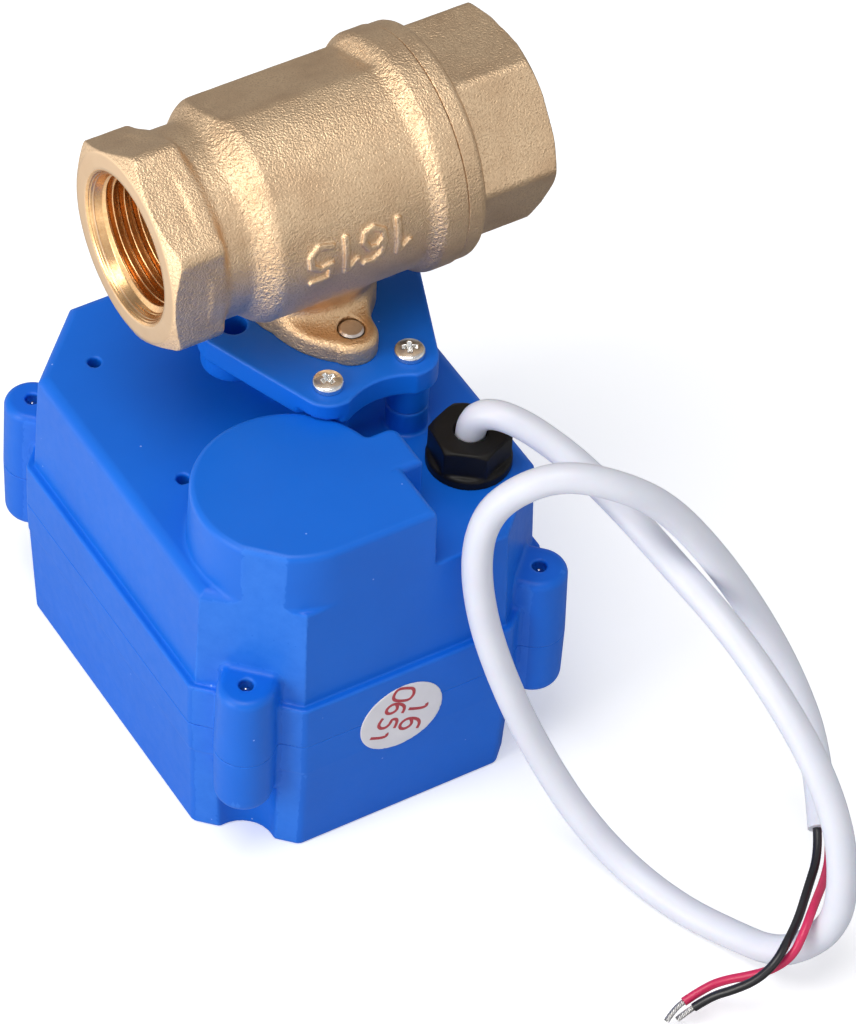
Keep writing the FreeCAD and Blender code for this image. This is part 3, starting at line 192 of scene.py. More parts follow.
# The cable is a soft white PVC jacket with the two wires inside it, extruded smooth. It leaves
# the gland with a tight fold, drops to the table, comes up again and crosses over itself.
mm = 0.001
cable_width, cable_length = 4.4, 292.4
jacket_white = "#e4e6f0"
jacket_shade = "#d3d6e4"
jacket_smudge = "#b9b29a"
cable_route = [
    (10.6, -27.9, 52.8), (10.6, -27.9, 54.4), (11.15, -28.6, 57.0), (12.45, -30.35, 58.55),
    (14.25, -32.7, 58.65), (16.65, -35.85, 57.5), (20.3, -41.8, 54.6), (23.7, -49.0, 50.3),
    (26.2, -58.8, 46.5), (28.2, -69.2, 43.8), (29.2, -79.6, 40.6), (30.0, -90.0, 35.5),
    (30.5, -97.0, 28.0), (29.5, -101.0, 20.5), (28.0, -102.5, 14.0), (25.0, -100.5, 8.5),
    (22.0, -97.0, 5.0), (19.5, -89.5, 2.7), (16.0, -82.0, 2.2), (13.0, -73.0, 3.0),
    (9.5, -65.0, 8.0), (6.0, -58.5, 17.0), (2.5, -54.0, 28.5), (0.5, -49.5, 39.5),
    (0.3, -46.7, 49.8), (2.0, -46.2, 57.5), (5.6, -48.2, 62.8), (11.2, -51.0, 65.5),
    (17.6, -55.0, 64.1), (24.0, -57.7, 59.3), (30.2, -61.0, 50.0), (36.0, -65.0, 38.5),
    (40.3, -69.7, 27.0), (41.2, -77.0, 17.5), (36.5, -86.2, 12.8),
]


def lay_line(curve, route):
    """Adds one smooth spline along a route in millimetres."""
    spline = curve.splines.new("NURBS")
    spline.points.add(len(route) - 1)
    for point, (x, y, z) in zip(spline.points, route):
        point.co = (x * mm, y * mm, z * mm, 1.0)
    spline.order_u = 3
    spline.use_endpoint_u = True


def round_line(name, route, width, material):
    """A round cord of its width along a route."""
    curve = bpy.data.curves.new(name, "CURVE")
    curve.dimensions = "3D"
    curve.bevel_depth = width / 2 * mm
    curve.bevel_resolution = 6
    curve.resolution_u = 10
    curve.use_fill_caps = True
    lay_line(curve, route)
    curve.materials.append(material)
    return bpy.data.objects.new(name, curve)


def stands_for(piece, body, slot, *nodes):
    """The piece rides on its body in place of the frame's plain nodes."""
    bpy.context.scene.collection.objects.link(piece)
    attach(piece, body)
    if nodes:
        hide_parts(*nodes)
    return piece


# Plasticised PVC, extruded: satin, even, with a faint cool shade and a few handling smudges.
white_pvc, tree = blank_material("extruded_white_pvc")
place = node(tree, "TexCoord").outputs["Object"]
cloud = node(tree, "TexNoise", {"Vector": place, "Scale": 1 / (9 * mm), "Detail": 3.0})
smudge = node(tree, "TexNoise", {"Vector": place, "Scale": 1 / (14 * mm), "Detail": 6.0,
                                 "Roughness": 0.7})
smudged = node(tree, "MapRange", {"Value": smudge.outputs["Fac"], "From Min": 0.69, "From Max": 0.78,
                                  "To Max": 0.45})
tint = node(tree, "Mix", {"Factor": cloud.outputs["Fac"], "A": colour(jacket_white),
                          "B": colour(jacket_shade)}, data_type="RGBA")
marked = node(tree, "Mix", {"Factor": smudged.outputs[0], "A": tint.outputs["Result"],
                            "B": colour(jacket_smudge)}, data_type="RGBA")
pores = node(tree, "TexNoise", {"Vector": place, "Scale": 1 / (0.35 * mm), "Detail": 2.0})
relief = node(tree, "Bump", {"Height": pores.outputs["Fac"], "Strength": 0.5, "Distance": 0.012 * mm})
gloss = node(tree, "MapRange", {"Value": cloud.outputs["Fac"], "To Min": 0.36, "To Max": 0.48})
jacket = node(tree, "BsdfPrincipled", {"Base Color": marked.outputs["Result"], "IOR": 1.53,
                                       "Roughness": gloss.outputs[0], "Normal": relief.outputs[0],
                                       "Subsurface Weight": 0.12, "Subsurface Scale": 0.8 * mm})
node(tree, "OutputMaterial", {"Surface": jacket.outputs[0]})

cable = stands_for(round_line("cable_jacket", cable_route, cable_width, white_pvc), "case",
                   "white_pvc", "cable")


# Two insulated wires come out of the jacket's cut end, one red and one black, and end in twisted,
# tinned strands bent a little apart.
wire_width = 1.3
tip_width = 0.9
tip_straight = 1.5
strand_share, lay_length = 1 / 3.1, 3.2
red_route = [
    (37.24, -86.55, 12.75), (35.67, -89.63, 11.18), (31.8, -94.0, 12.6), (26.8, -98.6, 14.6),
    (23.1, -101.8, 14.1), (20.7, -103.0, 11.4), (17.9, -102.2, 9.1), (15.3, -100.4, 7.4),
    (12.9, -98.5, 5.9), (10.4, -97.4, 4.6), (6.8, -97.4, 3.4),
]
black_route = [
    (35.76, -85.85, 12.85), (34.19, -88.93, 11.27), (29.4, -93.4, 10.8), (24.6, -98.2, 12.0),
    (20.6, -101.4, 12.8), (17.6, -103.2, 11.9), (14.7, -103.2, 9.8), (12.0, -101.6, 7.5),
    (9.8, -99.7, 5.4), (7.5, -99.0, 3.5),
]
red_tip_end = (3.5, -98.3, 2.1)
black_tip_end = (4.9, -98.9, 2.3)


def mottled(name, pale, deep, size, drift, gloss=None, relief=None, grain=None, **shader):
    """A material between two tones. Tone and gloss drift over size millimetres. relief is strength
    and depth in millimetres, and follows the drift, or a finer grain where its size is given."""
    material, tree = blank_material(name)
    place = node(tree, "TexCoord").outputs["Object"]
    cloud = node(tree, "TexNoise", {"Vector": place, "Scale": 1 / (size * mm), **drift})
    tone = node(tree, "Mix", {"Factor": cloud.outputs["Fac"], "A": colour(pale), "B": colour(deep)},
                data_type="RGBA")
    looks = {"Base Color": tone.outputs["Result"], **shader}
    if gloss:
        looks["Roughness"] = node(tree, "MapRange", {"Value": cloud.outputs["Fac"], "To Min": gloss[0],
                                                     "To Max": gloss[1]}).outputs[0]
    if relief:
        rough = cloud if grain is None else node(
            tree, "TexNoise", {"Vector": place, "Scale": 1 / (grain * mm), "Detail": 2.0})
        looks["Normal"] = node(tree, "Bump", {"Height": rough.outputs["Fac"], "Strength": relief[0],
                                              "Distance": relief[1] * mm}).outputs[0]
    node(tree, "OutputMaterial", {"Surface": node(tree, "BsdfPrincipled", looks).outputs[0]})
    return material


# Thin extruded PVC insulation: glossier than the jacket, slightly uneven in tone.
red_pvc, black_pvc = (mottled(name, pale, deep, 3, {"Detail": 4.0}, (0.26, 0.4), (0.5, 0.03), IOR=1.53)
                      for name, pale, deep in (("extruded_red_pvc", "#dd2f63", "#c0204f"),
                                               ("extruded_black_pvc", "#232226", "#141317")))

# Tinned copper strands: soft silver, dulled where they were dipped.
tinned = mottled("tinned_copper_strands", "#d9d9da", "#a8a4a0", 0.8, {"Detail": 3.0}, (0.2, 0.42),
                 Metallic=1.0)


def spline_points(curve):
    """Points along a cord's own spline, in millimetres."""
    bare = curve.data.copy()
    bare.bevel_depth = 0.0
    line = bpy.data.objects.new("line", bare)
    mesh = bpy.data.meshes.new_from_object(line)
    points = np.array([v.co[:] for v in mesh.vertices]) / mm
    bpy.data.objects.remove(line)
    bpy.data.meshes.remove(mesh)
    return points


def twisted_tip(name, route, end):
    """Seven fine strands twisted together along the wire's bare end."""
    strand_width = tip_width * strand_share
    last = Vector(route[-1])
    bend = last + (last - Vector(route[-2])).normalized() * tip_straight
    core = round_line(name, [tuple(last), tuple(bend), end], strand_width, tinned)
    points = spline_points(core)
    lengths = np.concatenate([[0], np.cumsum(np.linalg.norm(np.diff(points, axis=0), axis=1))])
    along = np.gradient(points, axis=0)
    along /= np.linalg.norm(along, axis=1)[:, None]
    side = np.cross(along, (0.0, 0.0, 1.0))
    side /= np.linalg.norm(side, axis=1)[:, None]
    upward = np.cross(side, along)
    for i in range(6):
        angle = 2 * math.pi * (lengths / lay_length + i / 6)[:, None]
        lay_line(core.data, points + strand_width * (np.cos(angle) * side + np.sin(angle) * upward))
    core.data.bevel_resolution = 2
    return bpy.data.objects.new(name, bpy.data.meshes.new_from_object(core))


for shade, route, tip_end, pvc in (("red", red_route, red_tip_end, red_pvc),
                                   ("black", black_route, black_tip_end, black_pvc)):
    wire = round_line(shade + "_wire_insulation", route, wire_width, pvc)
    stands_for(wire, "case", shade + "_pvc", shade + "_wire")
    tip = twisted_tip(shade + "_wire_strands", route, tip_end)
    stands_for(tip, "case", "tinned_copper", shade + "_wire_tip")
    length = float(np.sum(np.linalg.norm(np.diff(spline_points(wire), axis=0), axis=1)))


# The case's upper half is injection moulded in blue ABS with thin walls: a wide band at the joint,
# drafted sides, a raised block over the motor, four corner lugs, and posts for what it carries.
case_low, case_high = (np.array(corner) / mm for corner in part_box("lower_case"))
case_x, case_y = (case_low[0] + case_high[0]) / 2, (case_low[1] + case_high[1]) / 2
half_width, half_length = 29.0, 36.7
corner_cut = 12.0
joint_z, band_top, case_top, block_top = 22.4, 30.0, 48.0, 58.3
ledge_inset, top_inset = 1.2, 1.8
top_edge, corner_edge, block_edge, upright_edge = 1.7, 0.4, 1.0, 0.45
dome_place, dome_radius, dome_draft = (-10.7, -20.3), 14.3, 0.25
motor_place, motor_hole_r = (case_x + dome_place[0], case_y + dome_place[1]), dome_radius - 2.0
wing_side, wing_back = 4.5, -24.0
tab_side, tab_front, tab_back, tab_corner = 7.8, -25.0, -17.0, 1.6
lug_place, lug_web = (24.0, 31.9), 5.0
lug_places = [(case_x + sx * lug_place[0], case_y + sy * lug_place[1])
              for sx in (-1, 1) for sy in (-1, 1)]
lug_top, lug_bottom = 35.05, 12.0
lug_top_r, lug_mid_r, lug_bottom_r, lug_eye_r = 4.15, 4.4, 4.2, 1.1
case_wall, cavity_inset = 2.2, 3.8
gland_place, shaft_place = (10.6, -27.9), [(0, 0)]
post_places = [(sx * 6.65, sy * 17.0) for sx in (-1, 1) for sy in (-1, 1)]
post_radius, post_joint, post_screw_r = 3.1, 52.2, 1.2
frame_posts = [(-27.0, 14.4), (-27.0, -12.1), (13.4, -12.0), (13.4, 10.0)]
frame_post_r, frame_post_low, frame_hole_r, frame_hole = 3.0, 24.6, 1.1, (20, 36)
board_posts = [(-13.0, 13.6), (6.6, -10.6), (-12.0, -9.5)]
board_post_r, board_post_low, board_hole_r, board_hole = 2.4, 34.7, 1.0, (30, 41)
top_hole_r = 1.0
shaft_boss_r, shaft_hole_r, seal_room_r, seal_room_low = 8.6, 5.05, 7.0, 0.4
gland_hole_r = 4.0
case_screw_hole_r, case_screw_tip = 1.25, 34.3
band_edge, band_fillet, lug_edge, lug_fillet = 0.35, 0.25, 1.2, 0.8
joint_shadow, side_shadow, joint_edge = 0.012, 0.06, 0.05

abs_blue = "#086cdd"
abs_deep = "#0560cd"
abs_rubbed_highlight = "#4b93f5"
abs_dust = "#a9c6ff"


def ticks(low, high, step, *close):
    """Grid lines from low to high, set closer in each (place, reach, spacing) of close."""
    lines = [low]
    while lines[-1] < high:
        steps = [spacing for place, reach, spacing in close if abs(lines[-1] - place) <= reach]
        lines.append(lines[-1] + min(steps + [step]))
    return np.array(lines, np.float32)


def outer(a, b, r):
    """What lies in both shapes, with the edge between them rounded to r."""
    return np.minimum(np.maximum(a, b), -r) + np.hypot(np.maximum(a + r, 0), np.maximum(b + r, 0))


def joined(a, b, r):
    """Both shapes together, with a fillet of r where they meet."""
    return np.maximum(np.minimum(a, b), r) - np.hypot(np.maximum(r - a, 0), np.maximum(r - b, 0))


def drilled(shape, x, y, z, place, radius, low, high, edge=0.15):
    """The shape with an upright round hole from low to high."""
    side = np.hypot(x - place[0], y - place[1]) - radius
    return outer(shape, -np.maximum(side, np.maximum(low - z, z - high)), edge)


def with_post(shape, x, y, z, place, radius, low, high, fillet=0.3):
    """The shape with an upright round post from low to high."""
    side = np.hypot(x - place[0], y - place[1]) - radius
    return joined(shape, outer(side, np.maximum(low - z, z - high), 0.2), fillet)


def surface(shape, xs, ys, zs):
    """Corners and faces on the surface where shape is zero: one corner in each grid cell that the
    surface crosses, a face round each grid line that it crosses, then each corner drawn onto it."""
    grid = np.meshgrid(xs, ys, zs, indexing="ij", sparse=True)
    depth = np.array(np.broadcast_to(shape(*grid), (len(xs), len(ys), len(zs))), np.float32)
    lines = (xs, ys, zs)
    cells, points, faces = [], [], []
    for axis in range(3):
        near = np.take(depth, range(depth.shape[axis] - 1), axis)
        far = np.take(depth, range(1, depth.shape[axis]), axis)
        at = np.argwhere((near < 0) != (far < 0))
        here, there = near[tuple(at.T)], far[tuple(at.T)]
        share = here / (here - there)
        point = np.stack([lines[i][at[:, i]] for i in range(3)], 1)
        start = lines[axis][at[:, axis]]
        point[:, axis] = start + share * (lines[axis][at[:, axis] + 1] - start)
        round_it = []
        for one, other in ((0, 0), (1, 0), (1, 1), (0, 1)):
            cell = at.copy()
            cell[:, (axis + 1) % 3] -= one
            cell[:, (axis + 2) % 3] -= other
            round_it.append(np.ravel_multi_index(cell.T, depth.shape))
            points.append(point)
        ring = np.stack(round_it, 1)
        cells.append(ring.T.ravel())
        faces.append(np.where((here < 0)[:, None], ring, ring[:, ::-1]))
    used, index = np.unique(np.concatenate(cells), return_inverse=True)
    count = np.bincount(index)
    every = np.concatenate(points)
    corners = np.stack([np.bincount(index, every[:, i]) / count for i in range(3)], 1)
    small, furthest = 0.01, 0.2
    for _ in range(3):
        value = shape(*corners.T)
        slope = np.stack([shape(*(corners + small * step).T) - value for step in np.eye(3)], 1) / small
        reach = value / np.maximum((slope ** 2).sum(1), 0.2)
        corners -= np.clip(reach, -furthest, furthest)[:, None] * slope
    return corners, np.searchsorted(used, np.concatenate(faces))


def skin(name, shape, xs, ys, zs, materials):
    """A closed piece on the surface where shape is zero."""
    return mesh_piece(name, *surface(shape, xs, ys, zs), materials)


def mesh_piece(name, corners, faces, materials):
    """A smooth-shaded object from corners in millimetres and faces of four."""
    mesh = bpy.data.meshes.new(name)
    mesh.vertices.add(len(corners))
    mesh.vertices.foreach_set("co", (np.asarray(corners) * mm).ravel().astype(np.float32))
    mesh.loops.add(4 * len(faces))
    mesh.loops.foreach_set("vertex_index", np.asarray(faces).ravel().astype(np.int32))
    mesh.polygons.add(len(faces))
    mesh.polygons.foreach_set("loop_start", np.arange(0, 4 * len(faces), 4, dtype=np.int32))
    mesh.polygons.foreach_set("use_smooth", np.ones(len(faces), bool))
    for material in materials:
        mesh.materials.append(material)
    mesh.update(calc_edges=True)
    mesh.validate()
    return bpy.data.objects.new(name, mesh)


def case_wall_line(x, y, inset):
    """Distance outside the case's eight-sided outline, drawn in by inset."""
    u, v = abs(x - case_x), abs(y - case_y)
    cut = (u + v - (half_width + half_length - corner_cut)) / math.sqrt(2)
    return outer(outer(u - half_width, cut, upright_edge), v - half_length, upright_edge) + inset


def cavity(x, y, z, low, high):
    """The space inside the case, an eight-sided prism with wide corners behind the scallops."""
    u, v = abs(x - case_x), abs(y - case_y)
    wide, long = half_width - cavity_inset, half_length - cavity_inset
    cut = (u + v - (wide + long - corner_cut)) / math.sqrt(2)
    side = np.maximum(np.maximum(u - wide, cut), v - long)
    return np.maximum(side, np.maximum(low - z, z - high))


def joint_gap_half(x):
    """Half the gap at the joint: nearly closed on the ends, a dark line along the sides."""
    return np.where(abs(x - case_x) > half_width - 1.5, side_shadow, joint_shadow)


def lug(x, y, radius):
    """Distance outside the nearest corner lug, a round post with a web in towards the case."""
    u, v = abs(x - case_x) - lug_place[0], abs(y - case_y) - lug_place[1]
    inward = np.clip(-(u + v) / math.sqrt(2), 0, lug_web)
    return np.hypot(u + inward / math.sqrt(2), v + inward / math.sqrt(2)) - radius


def block_plan(x, y, z):
    """Distance outside the raised block's walls: the dome over the motor, its wing and its tab."""
    u, v = x - case_x, y - case_y
    draft = dome_draft * (block_top - z) / (block_top - case_top)
    dome = np.hypot(u - dome_place[0], v - dome_place[1]) - dome_radius - draft
    wing = outer(u - wing_side, v - wing_back, 0.5)
    tab = outer(outer(u - tab_side, v - tab_back, tab_corner), tab_front - v, 0.3)
    inner_side = dome_place[0] - u
    return joined(dome, np.maximum(np.minimum(wing, tab), inner_side), 0.5)


def upper_half(x, y, z):
    """The upper case: walls, block, band and lugs, then the room inside, the posts and the holes."""
    slope = (top_inset - ledge_inset) / (case_top - band_top)
    wall = case_wall_line(x, y, ledge_inset + slope * (z - band_top))
    raised = outer(np.maximum(block_plan(x, y, z), wall), z - block_top, block_edge)
    edge = np.interp(y, (case_y - 30, case_y - 24), (corner_edge, top_edge))
    shape = np.maximum(joined(outer(wall, z - case_top, edge), raised, 0.5), wall)
    band = outer(case_wall_line(x, y, 0.0), z - band_top, band_edge)
    shape = joined(shape, band, band_fillet)
    taper = (z - joint_z) / (lug_top - joint_z)
    post = outer(lug(x, y, lug_mid_r + (lug_top_r - lug_mid_r) * taper), z - lug_top, lug_edge)
    shape = joined(shape, post, lug_fillet)
    shape = outer(shape, joint_z + joint_gap_half(x) - z, joint_edge)
    hollow = cavity(x, y, z, joint_z - 5, case_top - case_wall)
    shape = np.maximum(shape, -hollow)
    shape = drilled(shape, x, y, z, motor_place, motor_hole_r, joint_z - 5, block_top - case_wall)
    for places, radius, low, high in (
            (frame_posts, frame_post_r, frame_post_low, case_top - 1),
            (board_posts, board_post_r, board_post_low, case_top - 1),
            (post_places, post_radius, case_top - 1, post_joint - joint_shadow),
            (shaft_place, shaft_boss_r, case_top - case_wall - 2, case_top + 2)):
        for place in places:
            shape = with_post(shape, x, y, z, place, radius, low, high)
    for places, radius, low, high in (
            (frame_posts, frame_hole_r, *frame_hole),
            (frame_posts[:2], top_hole_r, frame_hole[0], case_top + 1),
            (board_posts, board_hole_r, *board_hole),
            (post_places, post_screw_r, case_top - 1, post_joint + 1),
            (shaft_place, shaft_hole_r, case_top - 10, case_top + 5),
            (shaft_place, seal_room_r, case_top + seal_room_low, case_top + 5),
            ([gland_place], gland_hole_r, case_top - 6, case_top + 6),
            (lug_places, case_screw_hole_r, joint_z - 1, case_screw_tip),
            (lug_places, lug_eye_r, joint_z - 1, lug_top + 1)):
        for place in places:
            shape = drilled(shape, x, y, z, place, radius, low, high)
    return shape


# ABS from a satin mould: coloured right through, a soft even sheen, slightly paler on its sharp
# edges, which is rubbing and also a painted edge highlight, a few bright specks of dust and faint
# scuffs. The satin grain is drawn at 0.25 mm.
blue_abs, tree = blank_material("moulded_blue_abs")
place = node(tree, "TexCoord").outputs["Object"]
cloud = node(tree, "TexNoise", {"Vector": place, "Scale": 1 / (16 * mm), "Detail": 3.0})
body = node(tree, "Mix", {"Factor": cloud.outputs["Fac"], "A": colour(abs_deep), "B": colour(abs_blue)},
            data_type="RGBA")
# Sharp edges, found by pointiness, are paled in patches: rubbing, and a painted edge highlight.
edges = node(tree, "NewGeometry").outputs["Pointiness"]
rub = node(tree, "TexNoise", {"Vector": place, "Scale": 1 / (2.2 * mm), "Detail": 5.0,
                              "Roughness": 0.65})
rubbed_and_highlit = node(tree, "MapRange", {"Value": edges, "From Min": 0.512, "From Max": 0.60, "To Max": 0.45})
patchy_edge_highlight = node(tree, "Math", {0: rubbed_and_highlit.outputs[0], 1: rub.outputs["Fac"]}, operation="MULTIPLY")
worn_and_highlit = node(tree, "Mix", {"Factor": patchy_edge_highlight.outputs[0], "A": body.outputs["Result"],
                          "B": colour(abs_rubbed_highlight)}, data_type="RGBA")
grit = node(tree, "TexVoronoi", {"Vector": place, "Scale": 1 / (5.5 * mm), "Randomness": 1.0})
speck = node(tree, "MapRange", {"Value": grit.outputs["Distance"], "From Min": 0.018, "From Max": 0.030,
                                "To Min": 0.6, "To Max": 0.0})
dusty = node(tree, "Mix", {"Factor": speck.outputs[0], "A": worn_and_highlit.outputs["Result"],
                           "B": colour(abs_dust)}, data_type="RGBA")
grain = node(tree, "TexNoise", {"Vector": place, "Scale": 1 / (0.25 * mm), "Detail": 2.0})
relief = node(tree, "Bump", {"Height": grain.outputs["Fac"], "Strength": 0.6, "Distance": 0.012 * mm})
gloss = node(tree, "MapRange", {"Value": rub.outputs["Fac"], "From Min": 0.3, "From Max": 0.7,
                                "To Min": 0.36, "To Max": 0.46})
moulded = node(tree, "BsdfPrincipled", {"Base Color": dusty.outputs["Result"], "IOR": 1.54,
                                        "Roughness": gloss.outputs[0], "Specular IOR Level": 0.28,
                                        "Normal": relief.outputs[0]})
node(tree, "OutputMaterial", {"Surface": moulded.outputs[0]})

case_grid, fine_grid, fine_reach = 0.37, 0.2, 1.3
around_x, around_y = (
    ticks(middle - half - 1.2, middle + half + 1.0, case_grid,
          *[(middle + way * (place - 1.0), fine_reach, fine_grid)
            for way in (-1, 1) for place in (half, half - corner_cut)])
    for middle, half in ((case_x, half_width), (case_y, half_length)))
upper_case = skin("upper_case_shell", upper_half, around_x, around_y,
                  ticks(joint_z - 0.6, block_top + 0.8, 0.5, (joint_z, 1.0, 0.12), (band_top, 1.0, 0.3),
                        (lug_top, 1.6, 0.4), (case_top, 2.2, 0.4), (block_top, 1.6, 0.35)), [blue_abs])
stands_for(upper_case, "case", "blue_abs", "upper_case")


# The lower half is a tray in the same ABS. Its corners are scalloped out below the lugs, so that
# the four case screws can be driven from underneath.
base_inset, step_inset, band_bottom = 1.2, 0.4, 16.8
base_edge, scallop_edge, scallop_radius, lug_foot = 0.4, 0.3, 4.9, 1.9
screw_seat, screw_hole_r, screw_head_r = 16.0, 1.6, 2.9
seal_inset, seal_size = 2.0, 1.0


def lower_half(x, y, z):
    """The lower case: drafted walls, scallops and lugs, then the room, the holes and the groove."""
    u, v = abs(x - case_x), abs(y - case_y)
    rise = np.clip(z / band_bottom, 0, 1)
    side_inset = np.where(z < band_bottom, base_inset + (step_inset - base_inset) * rise,
                          step_inset * 0.6 * np.clip((joint_z - z) / (joint_z - band_bottom), 0, 1))
    end_inset = base_inset * (1 - rise)
    cut = (u + v - (half_width + half_length - corner_cut)) / math.sqrt(2)
    cut = cut + (side_inset + end_inset) / 2
    wall = outer(outer(u - half_width + side_inset, cut, upright_edge), v - half_length + end_inset,
                 upright_edge)
    shape = outer(wall, -z, base_edge)
    place = np.hypot(u - lug_place[0], v - lug_place[1])
    shape = outer(shape, -np.maximum(place - scallop_radius, z - lug_bottom), scallop_edge)
    taper = (z - lug_bottom) / (joint_z - lug_bottom)
    radius = lug_bottom_r + (lug_mid_r - lug_bottom_r) * taper
    shape = joined(shape, outer(lug(x, y, radius), lug_bottom - z, lug_foot), lug_fillet)
    shape = outer(shape, z - joint_z + joint_gap_half(x), joint_edge)
    shape = np.maximum(shape, -cavity(x, y, z, case_wall, joint_z + 5))
    hole = np.maximum(place - screw_hole_r, lug_bottom - 1 - z)
    recess = np.maximum(np.maximum(place - screw_head_r, lug_bottom - 1 - z), z - screw_seat)
    shape = outer(shape, -np.minimum(hole, recess), 0.15)
    groove = np.abs(case_wall_line(x, y, seal_inset + seal_size / 2)) - seal_size / 2
    return np.maximum(shape, -np.maximum(groove, joint_z - seal_size - z))


lower_case = skin("lower_case_shell", lower_half, around_x, around_y,
                  ticks(-0.8, joint_z + 0.5, 0.5, (0.0, 1.2, 0.3), (band_bottom, 0.8, 0.2),
                        (joint_z, 1.4, 0.12), (lug_bottom, 1.5, 0.4)), [blue_abs])
stands_for(lower_case, "case", "blue_abs", "lower_case")


# The mounting plate is moulded in the same ABS. It stands on four short posts over the output
# shaft, and its two side lobes carry the holes for fixing the whole valve.
plate_low, plate_top = 57.4, 61.4
side_hole, side_lobe, side_boss, boss_drop = 12.4, 5.05, 4.6, 3.4
front_lobe, notch_y = 4.2, 19.6
plate_edge, under_edge, boss_edge, boss_fillet = 0.35, 0.3, 0.8, 0.4
shaft_room_r, side_hole_r, side_hole_edge, motor_room = 4.6, 2.0, 0.25, 0.35
foot_bolt_y, foot_bolt_r = 11.8, 1.85


def plate_outline(x, y):
    """Distance outside the plate: lobes joined by straight edges, with a hollow front and back."""
    u, v = abs(x), abs(y)
    post_x, post_y = post_places[-1]
    away_x, away_y = side_hole - post_x, -post_y
    span = math.hypot(away_x, away_y)
    lean = (side_lobe - front_lobe) / span
    along = ((u - post_x) * away_x + (v - post_y) * away_y) / span
    across = (-(u - post_x) * away_y + (v - post_y) * away_x) / span
    edge = across * math.sqrt(1 - lean ** 2) - along * lean - front_lobe
    ends = np.where(along + across * lean < span / 2, np.hypot(u - post_x, v - post_y) - front_lobe,
                    np.hypot(u - side_hole, v) - side_lobe)
    slide = along * math.sqrt(1 - lean ** 2) + across * lean
    flank = np.where((slide > 0) & (slide < span * math.sqrt(1 - lean ** 2)), edge, ends)
    middle = np.maximum(u - post_x, v - post_y - front_lobe)
    inside = np.maximum(across, v - post_y)
    shape = np.minimum(np.minimum(flank, middle), inside)
    drop = post_y - notch_y
    hollow = (post_x ** 2 + drop ** 2 - front_lobe ** 2) / (2 * (front_lobe + drop))
    return np.maximum(shape, hollow - np.hypot(u, v - notch_y - hollow))


def plate_shape(x, y, z):
    """The plate with its bosses and posts, its holes, and the room for the motor's dome."""
    outline = plate_outline(x, y)
    shape = outer(outer(outline, z - plate_top, plate_edge), plate_low - z, under_edge)
    for sx in (-1, 1):
        side = np.hypot(x - sx * side_hole, y) - side_boss
        boss = outer(side, np.maximum(plate_low - boss_drop - z, z - plate_top + 1), boss_edge)
        shape = joined(shape, boss, boss_fillet)
    for place in post_places:
        shape = with_post(shape, x, y, z, place, post_radius, post_joint + joint_shadow, plate_top - 1)
    shape = drilled(shape, x, y, z, (0, 0), shaft_room_r, plate_low - 1, plate_top + 1)
    below = post_joint - 2.2
    for sx in (-1, 1):
        shape = drilled(shape, x, y, z, (sx * side_hole, 0), side_hole_r, below, plate_top + 1,
                        side_hole_edge)
    for sy in (-1, 1):
        shape = drilled(shape, x, y, z, (0, sy * foot_bolt_y), foot_bolt_r, below, plate_top + 1)
    for place in post_places:
        shape = drilled(shape, x, y, z, place, post_screw_r, post_joint - 1, plate_top + 1)
    return drilled(shape, x, y, z, motor_place, dome_radius + motor_room, post_joint - 1,
                   block_top + motor_room)


plate = skin("mounting_plate_moulding", plate_shape, ticks(-19.2, 19.2, 0.36),
             ticks(-22.0, 22.0, 0.36), ticks(51.6, 62.0, 0.4, (post_joint, 0.8, 0.12),
                                             (plate_low, 0.6, 0.2), (plate_top, 0.6, 0.15)), [blue_abs])
stands_for(plate, "case", "blue_abs", "mounting_plate")


# The valve body is sand-cast brass, tumbled bright, with a grainy orange-peel skin. Only the mouth,
# its corners and the bores are machined. One half of the mould left a flatter back to the barrel.
pipe_z, pipe_end, far_end = 84.2, 30.0, 31.0
waist_r, barrel_r, collar_r = 14.1, 16.6, 17.9
barrel_rise, collar_rise = (-17.6, 4.2), (9.2, 2.5)
near_hex_across, near_hex_end, near_hex_turn = 28.6, -21.7, 30.0
cone_r, cone_rise = 14.0, 1.9
near_hex_corner, near_hex_edge, waist_fillet = 2.2, 0.9, 1.2
cut_edge, joint_groove = 0.12, 0.15
cap_joint, joint_gap = 14.8, 0.12
bore_r, port_r, thread_depth, mouth_chamfer_r = 10.6, 6.5, 13.0, 11.45
ball_room_r, ball_room_start, seat_x = 11.0, -10.0, 10.0
cap_thread_r = 14.2
flat_angle, flat_depth, flat_edge = math.radians(66.5), 1.2, 0.25
flat_rise, flat_stop = (-15.4, 1.8), (9.2, 1.6)
foot_low, foot_top, foot_disc, foot_lobe, foot_lobe_y, foot_bow = 61.4, 65.0, 9.6, 4.1, 12.0, 1.1
foot_hollow, foot_hollow_place = 8.0, (12.1, 12.76)
foot_edge, foot_screw_r = 1.3, 2.0
neck_r, neck_flare, neck_fillet = 8.4, 3.4, 4.2
stem_hole_r, stem_room_r, stem_room_low = 4.05, 5.6, 70.4
figures = {
    "0": [[(0.0, 0.5), (-0.32, 0.42), (-0.34, -0.1), (-0.28, -0.5), (0.1, -0.54), (0.34, -0.36),
           (0.36, 0.2), (0.24, 0.5), (0.0, 0.5)]],
    "1": [[(-0.24, 0.24), (0.04, 0.5), (0.04, -0.5)]],
    "5": [[(0.27, 0.48), (-0.2, 0.48), (-0.24, 0.08), (0.05, 0.13), (0.27, -0.02), (0.28, -0.3),
           (0.06, -0.5), (-0.27, -0.42)]],
    "6": [[(0.24, 0.46), (0.02, 0.48), (-0.2, 0.3), (-0.28, -0.02), (-0.24, -0.34), (0.0, -0.5),
           (0.22, -0.42), (0.28, -0.18), (0.14, 0.04), (-0.08, 0.06), (-0.25, -0.12)]],
}
size_mark, mark_pitch, mark_tall = "1615", 4.15, 6.0
mark_middle, mark_angle, mark_stroke, mark_height = -1.9, math.radians(176), 0.45, 0.5
mark_edge, mark_fillet = 0.2, 0.3

